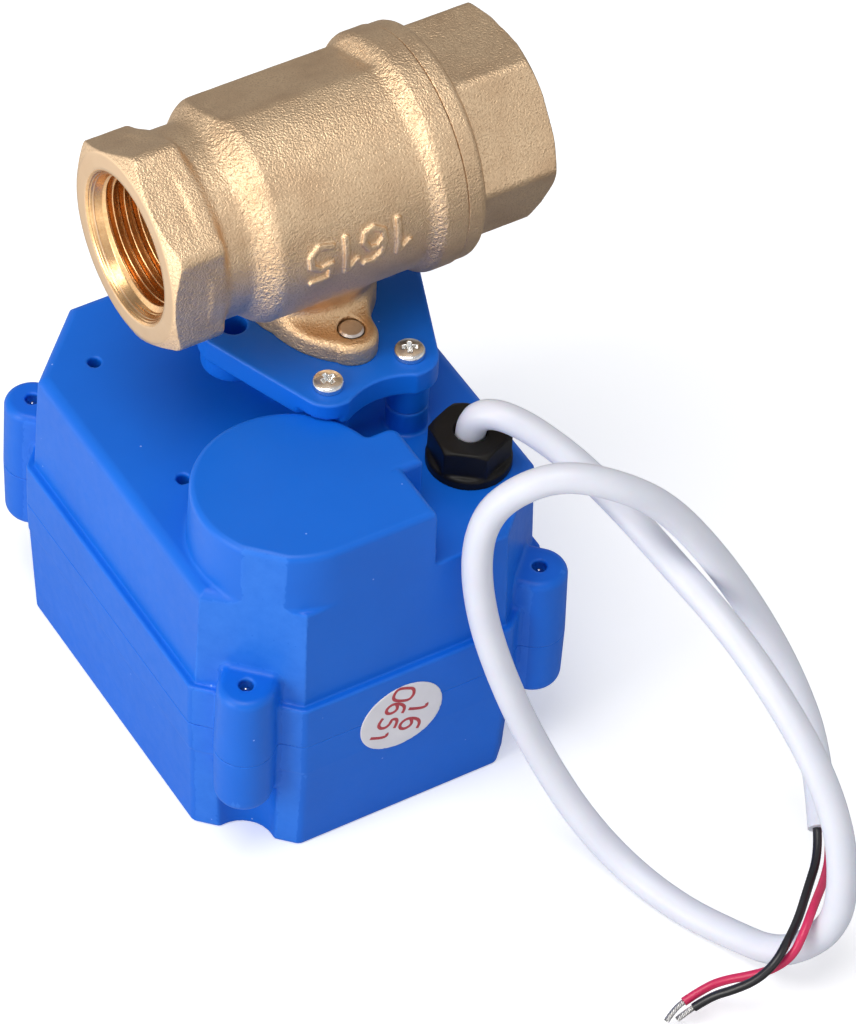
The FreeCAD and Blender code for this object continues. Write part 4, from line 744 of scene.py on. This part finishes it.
brass_body = "#efd0aa"
brass_dark = "#b8906c"
brass_cut = "#dcb68c"
brass_shaded_gold = "#d9a45f"
rough_toes = ((-15.9, 2.2), (10.2, 1.5))
toe_rough, skin_rough = 2.0, 0.35


def eased(x, start, length):
    """0 before start, 1 after start + length, smooth between."""
    t = np.clip((x - start) / length, 0, 1)
    return t * t * (3 - 2 * t)


def hexagon(y, z, across, turn, corner):
    """Distance outside a hexagon with rounded corners; turn is one corner's angle from +Y."""
    face = math.radians(turn + 30)
    v = abs(y * math.cos(face) + z * math.sin(face))
    u = abs(z * math.cos(face) - y * math.sin(face))
    fold = 2 * np.minimum(0.5 * v - math.sqrt(0.75) * u, 0)
    u, v = u + math.sqrt(0.75) * fold, v - 0.5 * fold
    flat = across / 2 - corner
    u = u - np.clip(u, -flat / math.sqrt(3), flat / math.sqrt(3))
    return np.hypot(u, v - flat) * np.sign(v - flat) - corner


def two_discs(x, y, a_r, b_y, b_r):
    """Distance outside a disc at the middle and one at b_y, wrapped round with bowed edges."""
    lean = (a_r - b_r) / b_y
    side = math.sqrt(1 - lean ** 2)
    along = side * y - lean * abs(x)
    share = along / (side * b_y)
    flank = side * abs(x) + lean * y - a_r - foot_bow * 4 * share * (1 - share)
    return np.where(along < 0, np.hypot(x, y) - a_r,
                    np.where(along > side * b_y, np.hypot(x, y - b_y) - b_r, flank))


def foot_outline(x, y):
    """Two lobes on a disc: bowed flanks on the inlet side, hollow ones on the outlet side."""
    v = abs(y)
    hollow_x, hollow_y = foot_hollow_place
    disc, lobe = np.hypot(x, y) - foot_disc, np.hypot(x, v - foot_lobe_y) - foot_lobe
    upper = foot_lobe_y + x * (hollow_y - foot_lobe_y) / hollow_x
    between = (v > x * hollow_y / hollow_x) & (v < upper)
    web = np.where(between, foot_hollow - np.hypot(x - hollow_x, v - hollow_y), 9.0)
    return np.where(x > 0, np.minimum(np.minimum(disc, lobe), web),
                    two_discs(x, v, foot_disc, foot_lobe_y, foot_lobe))


def stroke_distance(u, v, strokes):
    """Distance from the middle line of raised strokes, each a run of straight pieces."""
    nearest = np.float32(9.0)
    for stroke in strokes:
        for (u1, v1), (u2, v2) in zip(stroke, stroke[1:]):
            du, dv = u2 - u1, v2 - v1
            t = np.clip(((u - u1) * du + (v - v1) * dv) / (du * du + dv * dv), 0, 1)
            nearest = np.minimum(nearest, np.hypot(u - u1 - t * du, v - v1 - t * dv))
    return nearest


def cast_waves(x, y, z):
    """The slight unevenness of a sand casting, hundredths of a millimetre deep."""
    return 0.015 * np.sin(0.9 * x + 1.3 * z) * np.sin(1.1 * y - 0.7 * x + 0.5)


def valve_body_shape(x, y, z):
    """The body: barrel with its flat, hexagon end, foot and neck, figures, then what is cut away."""
    h = z - pipe_z
    r = np.hypot(y, h)
    turned = waist_r + (barrel_r - waist_r) * eased(x, *barrel_rise)
    turned = turned + (collar_r - barrel_r) * eased(x, *collar_rise)
    barrel = np.maximum(r - turned, near_hex_end - 2 - x)
    flatness = flat_depth * (eased(x, *flat_rise) - eased(x, *flat_stop))
    flat = y * math.cos(flat_angle) + h * math.sin(flat_angle) - (turned - flatness)
    barrel = outer(barrel, flat, flat_edge)
    end = hexagon(y, h, near_hex_across, near_hex_turn, near_hex_corner)
    end = outer(end, x - near_hex_end, near_hex_edge)
    end = outer(end, r - cone_r - cone_rise * (x + pipe_end), cut_edge)
    shape = joined(barrel, end, waist_fillet)
    outline = foot_outline(x, y)
    neck = np.maximum(np.hypot(x, y) - neck_r, z - pipe_z)
    neck = outer(joined(outer(outline, z - foot_top, foot_edge), neck, neck_flare), outline, 1.0)
    neck = outer(neck, foot_low - z, 0.2)
    shape = joined(shape, neck, neck_fillet) + cast_waves(x, y, z)
    down_front = (np.arctan2(h, y) % (2 * math.pi) - mark_angle) * barrel_r
    strokes = []
    for i, figure in enumerate(size_mark):
        start = (i - 1.5) * mark_pitch
        strokes += [[(start + u * mark_tall, v * mark_tall) for u, v in line] for line in figures[figure]]
    mark = outer(stroke_distance(mark_middle - x, down_front, strokes) - mark_stroke,
                 abs(r - barrel_r) - mark_height, mark_edge)
    shape = joined(shape, mark, mark_fillet)
    shape = outer(shape, x - cap_joint + joint_gap / 2, joint_groove)
    shape = outer(shape, -pipe_end - x, cut_edge)
    mouth = np.maximum(r - np.maximum(bore_r, mouth_chamfer_r - pipe_end - x), x + pipe_end - thread_depth)
    room = np.maximum(r - ball_room_r, ball_room_start - x)
    nose_room = np.maximum(r - cap_thread_r, seat_x - x)
    bores = np.minimum(np.minimum(mouth, r - port_r), np.minimum(room, nose_room))
    shape = outer(shape, -bores, cut_edge)
    shape = drilled(shape, x, y, z, (0, 0), stem_hole_r, 60, 72)
    shape = drilled(shape, x, y, z, (0, 0), stem_room_r, stem_room_low, pipe_z)
    for sy in (-1, 1):
        shape = drilled(shape, x, y, z, (0, sy * foot_bolt_y), foot_screw_r, 60, foot_top + 1)
    return shape


def brass(name, machined):
    """Sand-cast brass, pale gold with an orange-peel skin, darker in its pits and coarser at the toes
    of its curves, with finely ringed, shinier metal where machined(tree, x, radius) is 1. The skin
    is drawn at 0.3 mm and 0.62 mm."""
    material, tree = blank_material(name)
    place = node(tree, "TexCoord").outputs["Object"]
    parts = node(tree, "SeparateXYZ", {0: place})
    height = node(tree, "Math", {0: parts.outputs["Z"], 1: pipe_z * mm}, operation="SUBTRACT")
    square = node(tree, "Math", {0: height.outputs[0], 1: height.outputs[0]}, operation="MULTIPLY")
    squares = node(tree, "Math", {0: parts.outputs["Y"], 1: parts.outputs["Y"], 2: square.outputs[0]},
                   operation="MULTIPLY_ADD")
    radius = node(tree, "Math", {0: squares.outputs[0]}, operation="SQRT")
    turned = machined(tree, parts.outputs["X"], radius.outputs[0])

    warp = node(tree, "TexNoise", {"Vector": place, "Scale": 1 / (1.1 * mm), "Detail": 2.0})
    peel = node(tree, "TexNoise", {"Vector": place, "Scale": 1 / (0.3 * mm), "Detail": 2.0,
                                   "Roughness": 0.4, "Distortion": 0.5})
    coarse = node(tree, "TexNoise", {"Vector": place, "Scale": 1 / (0.62 * mm), "Detail": 2.0,
                                     "Distortion": 0.6})
    near_toes = []
    for toe, reach in rough_toes:
        away = node(tree, "Math", {0: parts.outputs["X"], 1: toe * mm}, operation="SUBTRACT")
        away = node(tree, "Math", {0: away.outputs[0]}, operation="ABSOLUTE")
        near = node(tree, "MapRange", {"Value": away.outputs[0], "From Min": 0.4 * reach * mm,
                                       "From Max": reach * mm, "To Min": toe_rough, "To Max": skin_rough})
        near_toes.append(near.outputs[0])
    toes = node(tree, "Math", {0: near_toes[0], 1: near_toes[1]}, operation="MAXIMUM")
    lumps = node(tree, "Math", {0: coarse.outputs["Fac"], 1: toes.outputs[0], 2: peel.outputs["Fac"]},
                 operation="MULTIPLY_ADD")
    skin_relief = node(tree, "Bump", {"Height": lumps.outputs[0], "Strength": 1.0, "Distance": 0.15 * mm})
    cloud = node(tree, "TexNoise", {"Vector": place, "Scale": 1 / (7 * mm), "Detail": 5.0,
                                    "Roughness": 0.6})
    pits = node(tree, "MapRange", {"Value": peel.outputs["Fac"], "From Min": 0.34, "From Max": 0.52,
                                   "To Min": 0.4, "To Max": 0.0})
    aged = node(tree, "MapRange", {"Value": cloud.outputs["Fac"], "From Min": 0.4, "From Max": 0.75,
                                   "To Max": 0.5})
    shade = node(tree, "Math", {0: pits.outputs[0], 1: aged.outputs[0]}, operation="MAXIMUM")
    tone = node(tree, "Mix", {"Factor": shade.outputs[0], "A": colour(brass_body),
                              "B": colour(brass_dark)}, data_type="RGBA")
    # Painted shade under the barrel: the neck and foot, below the barrel's underside, turn a deeper gold.
    painted_shade_below = node(tree, "MapRange", {"Value": parts.outputs["Z"], "From Min": 67 * mm,
                                        "From Max": 72 * mm, "To Min": 0.22, "To Max": 0.0})
    with_painted_shade = node(tree, "Mix", {"Factor": painted_shade_below.outputs[0], "A": tone.outputs["Result"],
                                "B": colour(brass_shaded_gold)}, data_type="RGBA")
    gloss = node(tree, "MapRange", {"Value": warp.outputs["Fac"], "To Min": 0.40, "To Max": 0.50})
    cast = node(tree, "BsdfPrincipled", {"Base Color": with_painted_shade.outputs["Result"], "Metallic": 1.0,
                                         "Roughness": gloss.outputs[0], "Normal": skin_relief.outputs[0]})

    rings = node(tree, "Math", {0: radius.outputs[0], 1: parts.outputs["X"]}, operation="ADD")
    marks = node(tree, "TexNoise", {"W": rings.outputs[0], "Scale": 1 / (0.22 * mm), "Detail": 3.0},
                 noise_dimensions="1D")
    cut_relief = node(tree, "Bump", {"Height": marks.outputs["Fac"], "Strength": 0.6,
                                     "Distance": 0.02 * mm})
    cut_tone = node(tree, "Mix", {"Factor": cloud.outputs["Fac"], "A": colour(brass_cut),
                                  "B": colour(brass_body)}, data_type="RGBA")
    cut_gloss = node(tree, "MapRange", {"Value": marks.outputs["Fac"], "To Min": 0.24, "To Max": 0.36})
    cut = node(tree, "BsdfPrincipled", {"Base Color": cut_tone.outputs["Result"], "Metallic": 1.0,
                                        "Roughness": cut_gloss.outputs[0], "Normal": cut_relief.outputs[0]})
    both = node(tree, "MixShader", {0: turned, 1: cast.outputs[0], 2: cut.outputs[0]})
    node(tree, "OutputMaterial", {"Surface": both.outputs[0]})
    return material


def mouth_and_bores(end, reach):
    """Says where the metal is cut at one end of the pipe: mouth face, corner cone and bores."""
    def where(tree, x, radius):
        inward = node(tree, "Math", {0: x, 1: -end, 2: reach * mm}, operation="MULTIPLY_ADD")
        face = node(tree, "Math", {0: inward.outputs[0], 1: 0.06 * mm}, operation="LESS_THAN")
        cone = node(tree, "Math", {0: inward.outputs[0], 1: cone_rise, 2: (cone_r + 0.06) * mm},
                    operation="MULTIPLY_ADD")
        corner = node(tree, "Math", {0: radius, 1: cone.outputs[0]}, operation="GREATER_THAN")
        inner = node(tree, "Math", {0: radius, 1: (mouth_chamfer_r - 0.05) * mm}, operation="LESS_THAN")
        either = node(tree, "Math", {0: face.outputs[0], 1: inner.outputs[0]}, operation="MAXIMUM")
        both = node(tree, "Math", {0: either.outputs[0], 1: corner.outputs[0]}, operation="MAXIMUM")
        return both.outputs[0]
    return where


cast_brass = brass("cast_brass_with_turned_mouth", mouth_and_bores(-1, pipe_end))
valve_body = skin("valve_body_casting", valve_body_shape,
                  ticks(-30.6, 15.4, 0.34, (-pipe_end, 1.0, 0.12), (mark_middle, 8.7, 0.19),
                        (cap_joint, 0.6, 0.1)),
                  ticks(-20.2, 20.2, 0.34, (-barrel_r, 0.9, 0.17)),
                  ticks(60.8, 103.6, 0.34, (foot_low, 0.5, 0.2), (pipe_z + 1.2, 4.2, 0.19)), [cast_brass])
stands_for(valve_body, "case", "cast_brass", "valve_body")


# The end cap is a second brass casting, screwed into the body against a gasket. A ring closes on
# the body's collar with a hairline joint, and a hexagon behind it takes the spanner.
cap_ring_r, cap_ring_end, cap_ring_edge, cap_ring_fillet = 17.7, 18.0, 1.1, 0.5
far_hex_across, far_hex_turn, far_hex_corner, far_cone_r = 28.2, -5.0, 1.6, 14.3


def end_cap_shape(x, y, z):
    """The cap: ring, hexagon and the threaded nose inside the body, bored through."""
    h = z - pipe_z
    r = np.hypot(y, h)
    ring = outer(r - cap_ring_r, x - cap_ring_end, cap_ring_edge)
    ring = outer(ring, cap_joint + joint_gap / 2 - x, joint_groove)
    end = outer(hexagon(y, h, far_hex_across, far_hex_turn, far_hex_corner), cap_joint + 1 - x, 0.2)
    end = outer(end, r - far_cone_r - cone_rise * (far_end - x), cut_edge)
    shape = joined(ring, end, cap_ring_fillet) + cast_waves(x, y, z)
    nose = np.maximum(r - cap_thread_r, np.maximum(seat_x + 0.8 - x, x - cap_joint - 1))
    pilot = np.maximum(r - ball_room_r, np.maximum(seat_x - x, x - cap_joint))
    shape = np.minimum(shape, np.minimum(nose, pilot))
    shape = outer(shape, x - far_end, cut_edge)
    mouth = np.maximum(r - np.maximum(bore_r, mouth_chamfer_r - far_end + x), far_end - thread_depth - x)
    return outer(shape, -np.minimum(mouth, r - port_r), cut_edge)


cap_brass = brass("cast_brass_end_cap", mouth_and_bores(1, far_end))
end_cap = skin("end_cap_casting", end_cap_shape,
               ticks(9.4, 31.6, 0.36, (cap_joint, 0.6, 0.1), (far_end, 1.0, 0.12)),
               ticks(-18.4, 18.4, 0.36), ticks(pipe_z - 18.4, pipe_z + 18.4, 0.36), [cap_brass])
stands_for(end_cap, "case", "cast_brass", "end_cap")


# Both mouths are tapped with a half-inch pipe thread, fourteen turns to the inch, behind a small
# chamfer and a plain lead-in. The crests are flat and polished, the roots narrow and darker.
thread_pitch, thread_minor, thread_major = 1.814, 9.32, 10.42
thread_rows, thread_columns = 200, 160
entry_depth = (0, 0.3, 0.36, 0.42, 2.0, 2.5)
entry_radius = (11.42, 11.05, 11.1, 10.85, 10.15, 9.2)

# Cut brass: brighter and redder than the cast skin, with fine chatter marks from the tap.
tapped_brass = mottled("tapped_brass_thread", "#f4cb98", "#cf9c66", 0.5, {"Detail": 3.0}, (0.18, 0.32),
                       (0.5, 0.02), Metallic=1.0)


def tapped_thread(name, end, reach):
    """The thread's own skin in one mouth: a ring of crests and roots with a plain outer side."""
    depth, angle = np.meshgrid(np.linspace(0.03, thread_depth - 0.05, thread_rows),
                               np.linspace(0, 2 * math.pi, thread_columns, endpoint=False), indexing="ij")
    turn = (depth / thread_pitch + angle / (2 * math.pi)) % 1
    root = np.clip(1.12 - abs(turn - 0.5) / 0.27, 0, 1)
    runout = np.clip((thread_depth - 1.2 - depth) / 1.2, 0, 1)
    inner = thread_minor + (thread_major - thread_minor) * root * root * (3 - 2 * root) * runout
    inner = np.maximum(inner, np.interp(depth, entry_depth, entry_radius))
    around = np.maximum(bore_r + 0.15, 11.75 - depth)
    radius = np.concatenate([inner, around[::-1]])
    along = np.concatenate([depth, depth[::-1]])
    angle = np.concatenate([angle, angle])
    corners = np.stack([end * (reach - along), radius * np.cos(angle),
                        pipe_z + radius * np.sin(angle)], -1)
    row = np.arange(2 * thread_rows)[:, None] * thread_columns
    column = np.arange(thread_columns)[None, :]
    next_row = np.roll(row, -1)
    next_column = np.roll(column, -1)
    faces = np.stack([row + column, row + next_column, next_row + next_column, next_row + column], -1)
    faces = faces.reshape(-1, 4)
    if end > 0:
        faces = faces[:, ::-1]
    return mesh_piece(name, corners.reshape(-1, 3), faces, [tapped_brass])


stands_for(tapped_thread("inlet_thread", -1, pipe_end), "case", "cast_brass")
stands_for(tapped_thread("outlet_thread", 1, far_end), "case", "cast_brass")


# Four bright nickel-plated pan-head screws hold the plate down on its posts, and four longer ones
# close the case from underneath. Each has a cross recess and a thread-forming shank.
screw_pitch, screw_ridge = 0.8, 0.11
recess_depth, recess_span = 1.15, 0.56
recess_narrow, recess_widening = 0.13, 0.24

# Nickel plate: bright and nearly white, with soft wear in its shine.
plated_steel = mottled("nickel_plated_screw_steel", "#fbfbfa", "#d0cfcc", 0.9, {"Detail": 4.0},
                       (0.16, 0.32), (0.6, 0.06), Metallic=1.0)


def cross_screws(name, head_r, head_h, shank_r, length, places):
    """Equal screws in one piece. places are (x, y, seat height, turn, 1 for head up or -1)."""
    def shape(x, y, z):
        r = np.hypot(x, y)
        head = outer(outer(r - head_r, z - head_h * (1 - 0.32 * (r / head_r) ** 2), 0.3), -z, 0.1)
        rise = np.clip((z - head_h + recess_depth) / recess_depth, 0, 1)
        span, half = recess_span * head_r * rise ** 0.6, recess_narrow + recess_widening * rise
        wings = np.minimum(np.maximum(abs(x) - span, abs(y) - half),
                           np.maximum(abs(y) - span, abs(x) - half))
        head = outer(head, -np.maximum(wings, head_h - recess_depth - z), 0.06)
        turn = abs((z / screw_pitch + np.arctan2(y, x) / (2 * math.pi)) % 1 - 0.5)
        point = np.clip((z + length) / 1.1, 0.25, 1)
        shank = outer(r - shank_r * point + screw_ridge * (1 - 2 * turn), -length - z, 0.1)
        return joined(head, np.maximum(shank, z - 0.2), 0.12)

    reach = ticks(-head_r - 0.3, head_r + 0.3, 0.13)
    corners, faces = surface(shape, reach, reach, ticks(-length - 0.3, head_h + 0.3, 0.14))
    every, rings = [], []
    for i, (x, y, seat, turn, way) in enumerate(places):
        c, s = math.cos(math.radians(turn)), math.sin(math.radians(turn))
        turned = corners @ np.array([(c, s, 0), (-s * way, c * way, 0), (0, 0, way)])
        every.append(turned + (x, y, seat))
        rings.append(faces + i * len(corners))
    return mesh_piece(name, np.concatenate(every), np.concatenate(rings), [plated_steel])


plate_screws = cross_screws("plate_screws_cross_head", 2.25, 1.5, 1.2, 12.6,
                            [(*place, plate_top, turn, 1)
                             for place, turn in zip(post_places, (8, 40, 63, 21))])
stands_for(plate_screws, "case", "screw_steel", "plate_screws")
case_screws = cross_screws("case_screws_cross_head", 2.7, 2.2, 1.25, case_screw_tip - screw_seat,
                           [(*place, screw_seat, turn, -1)
                            for place, turn in zip(lug_places, (15, 50, 72, 33))])
stands_for(case_screws, "case", "screw_steel", "case_screws")


# Two round steel screws come up through the plate and end level with the foot's lobes. Their ends
# are turned flat and browned a little, with a bright edge.
pin_steel = mottled("turned_pin_steel", "#e9e0d8", "#b9a79c", 1.3, {"Detail": 5.0, "Roughness": 0.7},
                    (0.2, 0.42), (0.4, 0.02), Metallic=1.0)


def finish(material, *names):
    """Gives nodes of the frame, kept as they are, their own material."""
    for name in names:
        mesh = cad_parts[name].data
        mesh.materials.clear()
        mesh.materials.append(material)


finish(pin_steel, "flange_screws")


# The cable gland is black moulded nylon: a hexagon with chamfered corners on a round flange, open
# at the top round the cable, with its shank through the case and a nut below.
gland_seat, gland_flange_top, gland_top, gland_foot = 48.0, 49.7, 54.0, 40.6
gland_across, gland_turn, gland_flange_r, gland_shank_r = 10.6, 22.0, 6.25, 4.0
gland_chamfer_r, gland_chamfer = 5.35, 1.6
gland_mouth_r, gland_grip_r, gland_room_r = 2.45, 2.25, 3.2
gland_reach = 6.8


def gland_shape(x, y, z):
    """The gland: nut on flange on ridged shank, bored for the cable."""
    u, v = x - gland_place[0], y - gland_place[1]
    r = np.hypot(u, v)
    nut = outer(hexagon(u, v, gland_across, gland_turn, 0.35), z - gland_top, 0.22)
    nut = outer(nut, r - gland_chamfer_r - gland_chamfer * (gland_top - z), 0.12)
    flange = outer(r - gland_flange_r, z - gland_flange_top, 0.6)
    shape = np.maximum(joined(nut, flange, 0.3), gland_seat - z)
    ridges = 0.1 * np.cos(2 * math.pi * z)
    shank = np.maximum(r - gland_shank_r + 0.12 + ridges, np.maximum(gland_foot - z, z - gland_seat - 1))
    shape = np.minimum(shape, shank)
    inner = np.where(z > gland_top - 1.6, r - gland_grip_r, r - gland_room_r)
    bore = np.where(z > gland_top - 0.9, r - gland_mouth_r, inner)
    return outer(shape, -bore, 0.18)


# Nylon moulded black: nearly matt on its flats, a faint brown in the black, a few pale chips.
black_nylon, tree = blank_material("moulded_black_nylon")
place = node(tree, "TexCoord").outputs["Object"]
cloud = node(tree, "TexNoise", {"Vector": place, "Scale": 1 / (2.5 * mm), "Detail": 4.0})
tone = node(tree, "Mix", {"Factor": cloud.outputs["Fac"], "A": colour("#0e0c0a"), "B": colour("#191613")},
            data_type="RGBA")
chips = node(tree, "TexVoronoi", {"Vector": place, "Scale": 1 / (2.6 * mm)})
chip = node(tree, "MapRange", {"Value": chips.outputs["Distance"], "From Min": 0.03, "From Max": 0.05,
                               "To Min": 0.8, "To Max": 0.0})
speckled = node(tree, "Mix", {"Factor": chip.outputs[0], "A": tone.outputs["Result"],
                              "B": colour("#9da3ab")}, data_type="RGBA")
grain = node(tree, "TexNoise", {"Vector": place, "Scale": 1 / (0.3 * mm), "Detail": 2.0})
relief = node(tree, "Bump", {"Height": grain.outputs["Fac"], "Strength": 0.5, "Distance": 0.015 * mm})
gloss = node(tree, "MapRange", {"Value": cloud.outputs["Fac"], "To Min": 0.38, "To Max": 0.52})
nylon = node(tree, "BsdfPrincipled", {"Base Color": speckled.outputs["Result"], "IOR": 1.53,
                                      "Roughness": gloss.outputs[0], "Specular IOR Level": 0.2,
                                      "Normal": relief.outputs[0]})
node(tree, "OutputMaterial", {"Surface": nylon.outputs[0]})

gland = skin("cable_gland_moulding", gland_shape,
             ticks(gland_place[0] - gland_reach, gland_place[0] + gland_reach, 0.22),
             ticks(gland_place[1] - gland_reach, gland_place[1] + gland_reach, 0.22),
             ticks(gland_foot - 0.5, gland_top + 0.5, 0.22, (gland_seat, 0.4, 0.1)), [black_nylon])
stands_for(gland, "case", "black_nylon", "cable_gland")
finish(black_nylon, "gland_lock_nut")


# An oval sticker on the front wall: silvered film, stamped with plain figures in red ink and stuck
# on by hand, a little askew. It lies over the joint line and bends with the drafted wall.
sticker_place, sticker_half, sticker_turn = (-9.5, 21.1), (6.75, 6.25), math.radians(4.0)
sticker_thick = 0.15
sticker_across, sticker_up = 7.2, 6.8
front_y = case_y - half_length
figures_turn = math.radians(-117)
figure_lines = [("16", 2.5, 3.8), ("0651", -1.8, 3.5)]
figure_pitch, pen_width = 0.78, 0.54
ink_lift, ink_flatness = 0.012, 0.05


def wall_draft(z):
    """How far the front wall has drawn back at height z, below the band."""
    return base_inset * np.clip((band_bottom - z) / band_bottom, 0, 1)


def sticker_shape(x, y, z):
    """The film, an oval laid on the front wall."""
    u, v = x - sticker_place[0], z - sticker_place[1]
    c, s = math.cos(sticker_turn), math.sin(sticker_turn)
    across, up = (u * c + v * s) / sticker_half[0], (v * c - u * s) / sticker_half[1]
    edge = (np.hypot(across, up) - 1) * sticker_half[1]
    out = front_y + wall_draft(z) - y
    return outer(edge, abs(out - sticker_thick / 2) - sticker_thick / 2, 0.05)


# Label film: pale silver under a clear coat, with a soft haze and a trace of fibre.
film = mottled("silvered_label_film", "#f0eef1", "#dddbe1", 4, {"Detail": 5.0}, (0.3, 0.42), (0.4, 0.01),
               grain=0.3, Metallic=0.1)

# Stamped ink: dark red, thinner and paler in patches, half matt.
red_ink = mottled("red_printing_ink", "#a8202c", "#c9525a", 0.4, {"Detail": 3.0}, None, (0.3, 0.005),
                  Roughness=0.45)

sticker = skin("inspection_sticker", sticker_shape,
               ticks(sticker_place[0] - sticker_across, sticker_place[0] + sticker_across, 0.3),
               ticks(front_y - 0.25, front_y + 0.35, 0.05),
               ticks(sticker_place[1] - sticker_up, sticker_place[1] + sticker_up, 0.3), [film])
stands_for(sticker, "case", "silver_label", "sticker")

printing = bpy.data.curves.new("figures", "CURVE")
printing.dimensions = "3D"
printing.bevel_depth = pen_width / 2 * mm
printing.bevel_resolution = 2
for line, above_middle, size in figure_lines:
    for i, digit in enumerate(line):
        along_line = (i - (len(line) - 1) / 2) * size * figure_pitch
        for stroke in figures[digit]:
            lay_line(printing, [(along_line + u * size, above_middle + v * size, 0) for u, v in stroke])
figure_mesh = bpy.data.meshes.new_from_object(bpy.data.objects.new("figures", printing))
flat = np.array([v.co[:] for v in figure_mesh.vertices]) / mm
c, s = math.cos(figures_turn), math.sin(figures_turn)
across, up = flat[:, 0] * c - flat[:, 1] * s, flat[:, 0] * s + flat[:, 1] * c
z = sticker_place[1] + up
y = front_y + wall_draft(z) - sticker_thick - ink_lift + flat[:, 2] * ink_flatness
placed = np.stack([sticker_place[0] + across, y, z], 1) * mm
figure_mesh.vertices.foreach_set("co", placed.ravel().astype(np.float32))
figure_mesh.materials.append(red_ink)
stands_for(bpy.data.objects.new("sticker_figures", figure_mesh), "case", "silver_label")


# Inside the valve a polished, chromed ball turns between two white PTFE seats. A stainless stem
# with two rubber rings and a thrust washer drives it.
def metal(name, bright, dull, smooth, rough, size):
    """Metal with tone and polish that vary over size millimetres, and faint machining relief."""
    return mottled(name, bright, dull, size, {"Detail": 5.0}, (smooth, rough), (0.4, 0.01), 0.3,
                   Metallic=1.0)


def moulding(name, body, shade, smooth, rough, size, index=1.5):
    """Plastic or rubber whose tone and gloss vary over size millimetres, with a fine grain."""
    return mottled(name, body, shade, size, {"Detail": 4.0}, (smooth, rough), (0.5, 0.012), 0.25,
                   IOR=index)


finish(metal("chromed_ball_brass", "#e3e5e8", "#c3c6ca", 0.06, 0.14, 5), "valve_ball")
finish(metal("turned_stainless_stem", "#cbc9c4", "#a5a29c", 0.22, 0.36, 2), "valve_stem")
finish(moulding("white_ptfe", "#efeee8", "#e2e0d8", 0.38, 0.5, 3, 1.35),
       "ball_seats", "thrust_washer", "body_gasket")
black_rubber = moulding("black_nitrile_rubber", "#161616", "#222120", 0.5, 0.65, 2, 1.52)
finish(black_rubber, "stem_rings", "shaft_seal", "case_seal", "cable_grommet")


# Under the valve a train of four gears brings the motor's speed down to the output shaft. It runs
# between two zinc-plated plates on pillars, with the motor's can standing on the upper one.
finish(moulding("natural_acetal", "#ece8dc", "#ddd7c8", 0.32, 0.44, 4, 1.48),
       "output_gear", "first_gear", "second_gear")
gear_steel = metal("cut_gear_steel", "#b4b2ae", "#8f8c88", 0.22, 0.36, 2)
finish(gear_steel, "motor_pinion", "gear_axles", "output_shaft")
zinc = metal("zinc_plated_sheet", "#c9ccd0", "#a9adb2", 0.28, 0.42, 6)
finish(zinc, "lower_frame_plate", "upper_frame_plate", "frame_pillars", "motor_screws", "frame_screws",
       "board_screws")
finish(metal("drawn_motor_can", "#c2c4c6", "#9a9da1", 0.24, 0.38, 8), "gear_motor")


# A cam on the shaft presses two microswitches under the circuit board, one for each end of the
# quarter turn. The board carries a relay, a capacitor and the wires' connector.
finish(moulding("black_switch_moulding", "#18181a", "#242326", 0.4, 0.52, 3),
       "open_switch", "closed_switch")
finish(moulding("red_button_moulding", "#b3261e", "#94201a", 0.35, 0.48, 1),
       "open_switch_button", "closed_switch_button")
finish(moulding("white_acetal_cam", "#e9e6dc", "#d9d4c7", 0.34, 0.46, 3, 1.48), "limit_cam")
finish(moulding("green_solder_mask", "#14603a", "#0f4d2f", 0.28, 0.4, 5, 1.55), "circuit_board")
finish(moulding("dark_component_moulding", "#242428", "#33323a", 0.38, 0.5, 3), "board_parts")
finish(white_pvc, "cable_tail")
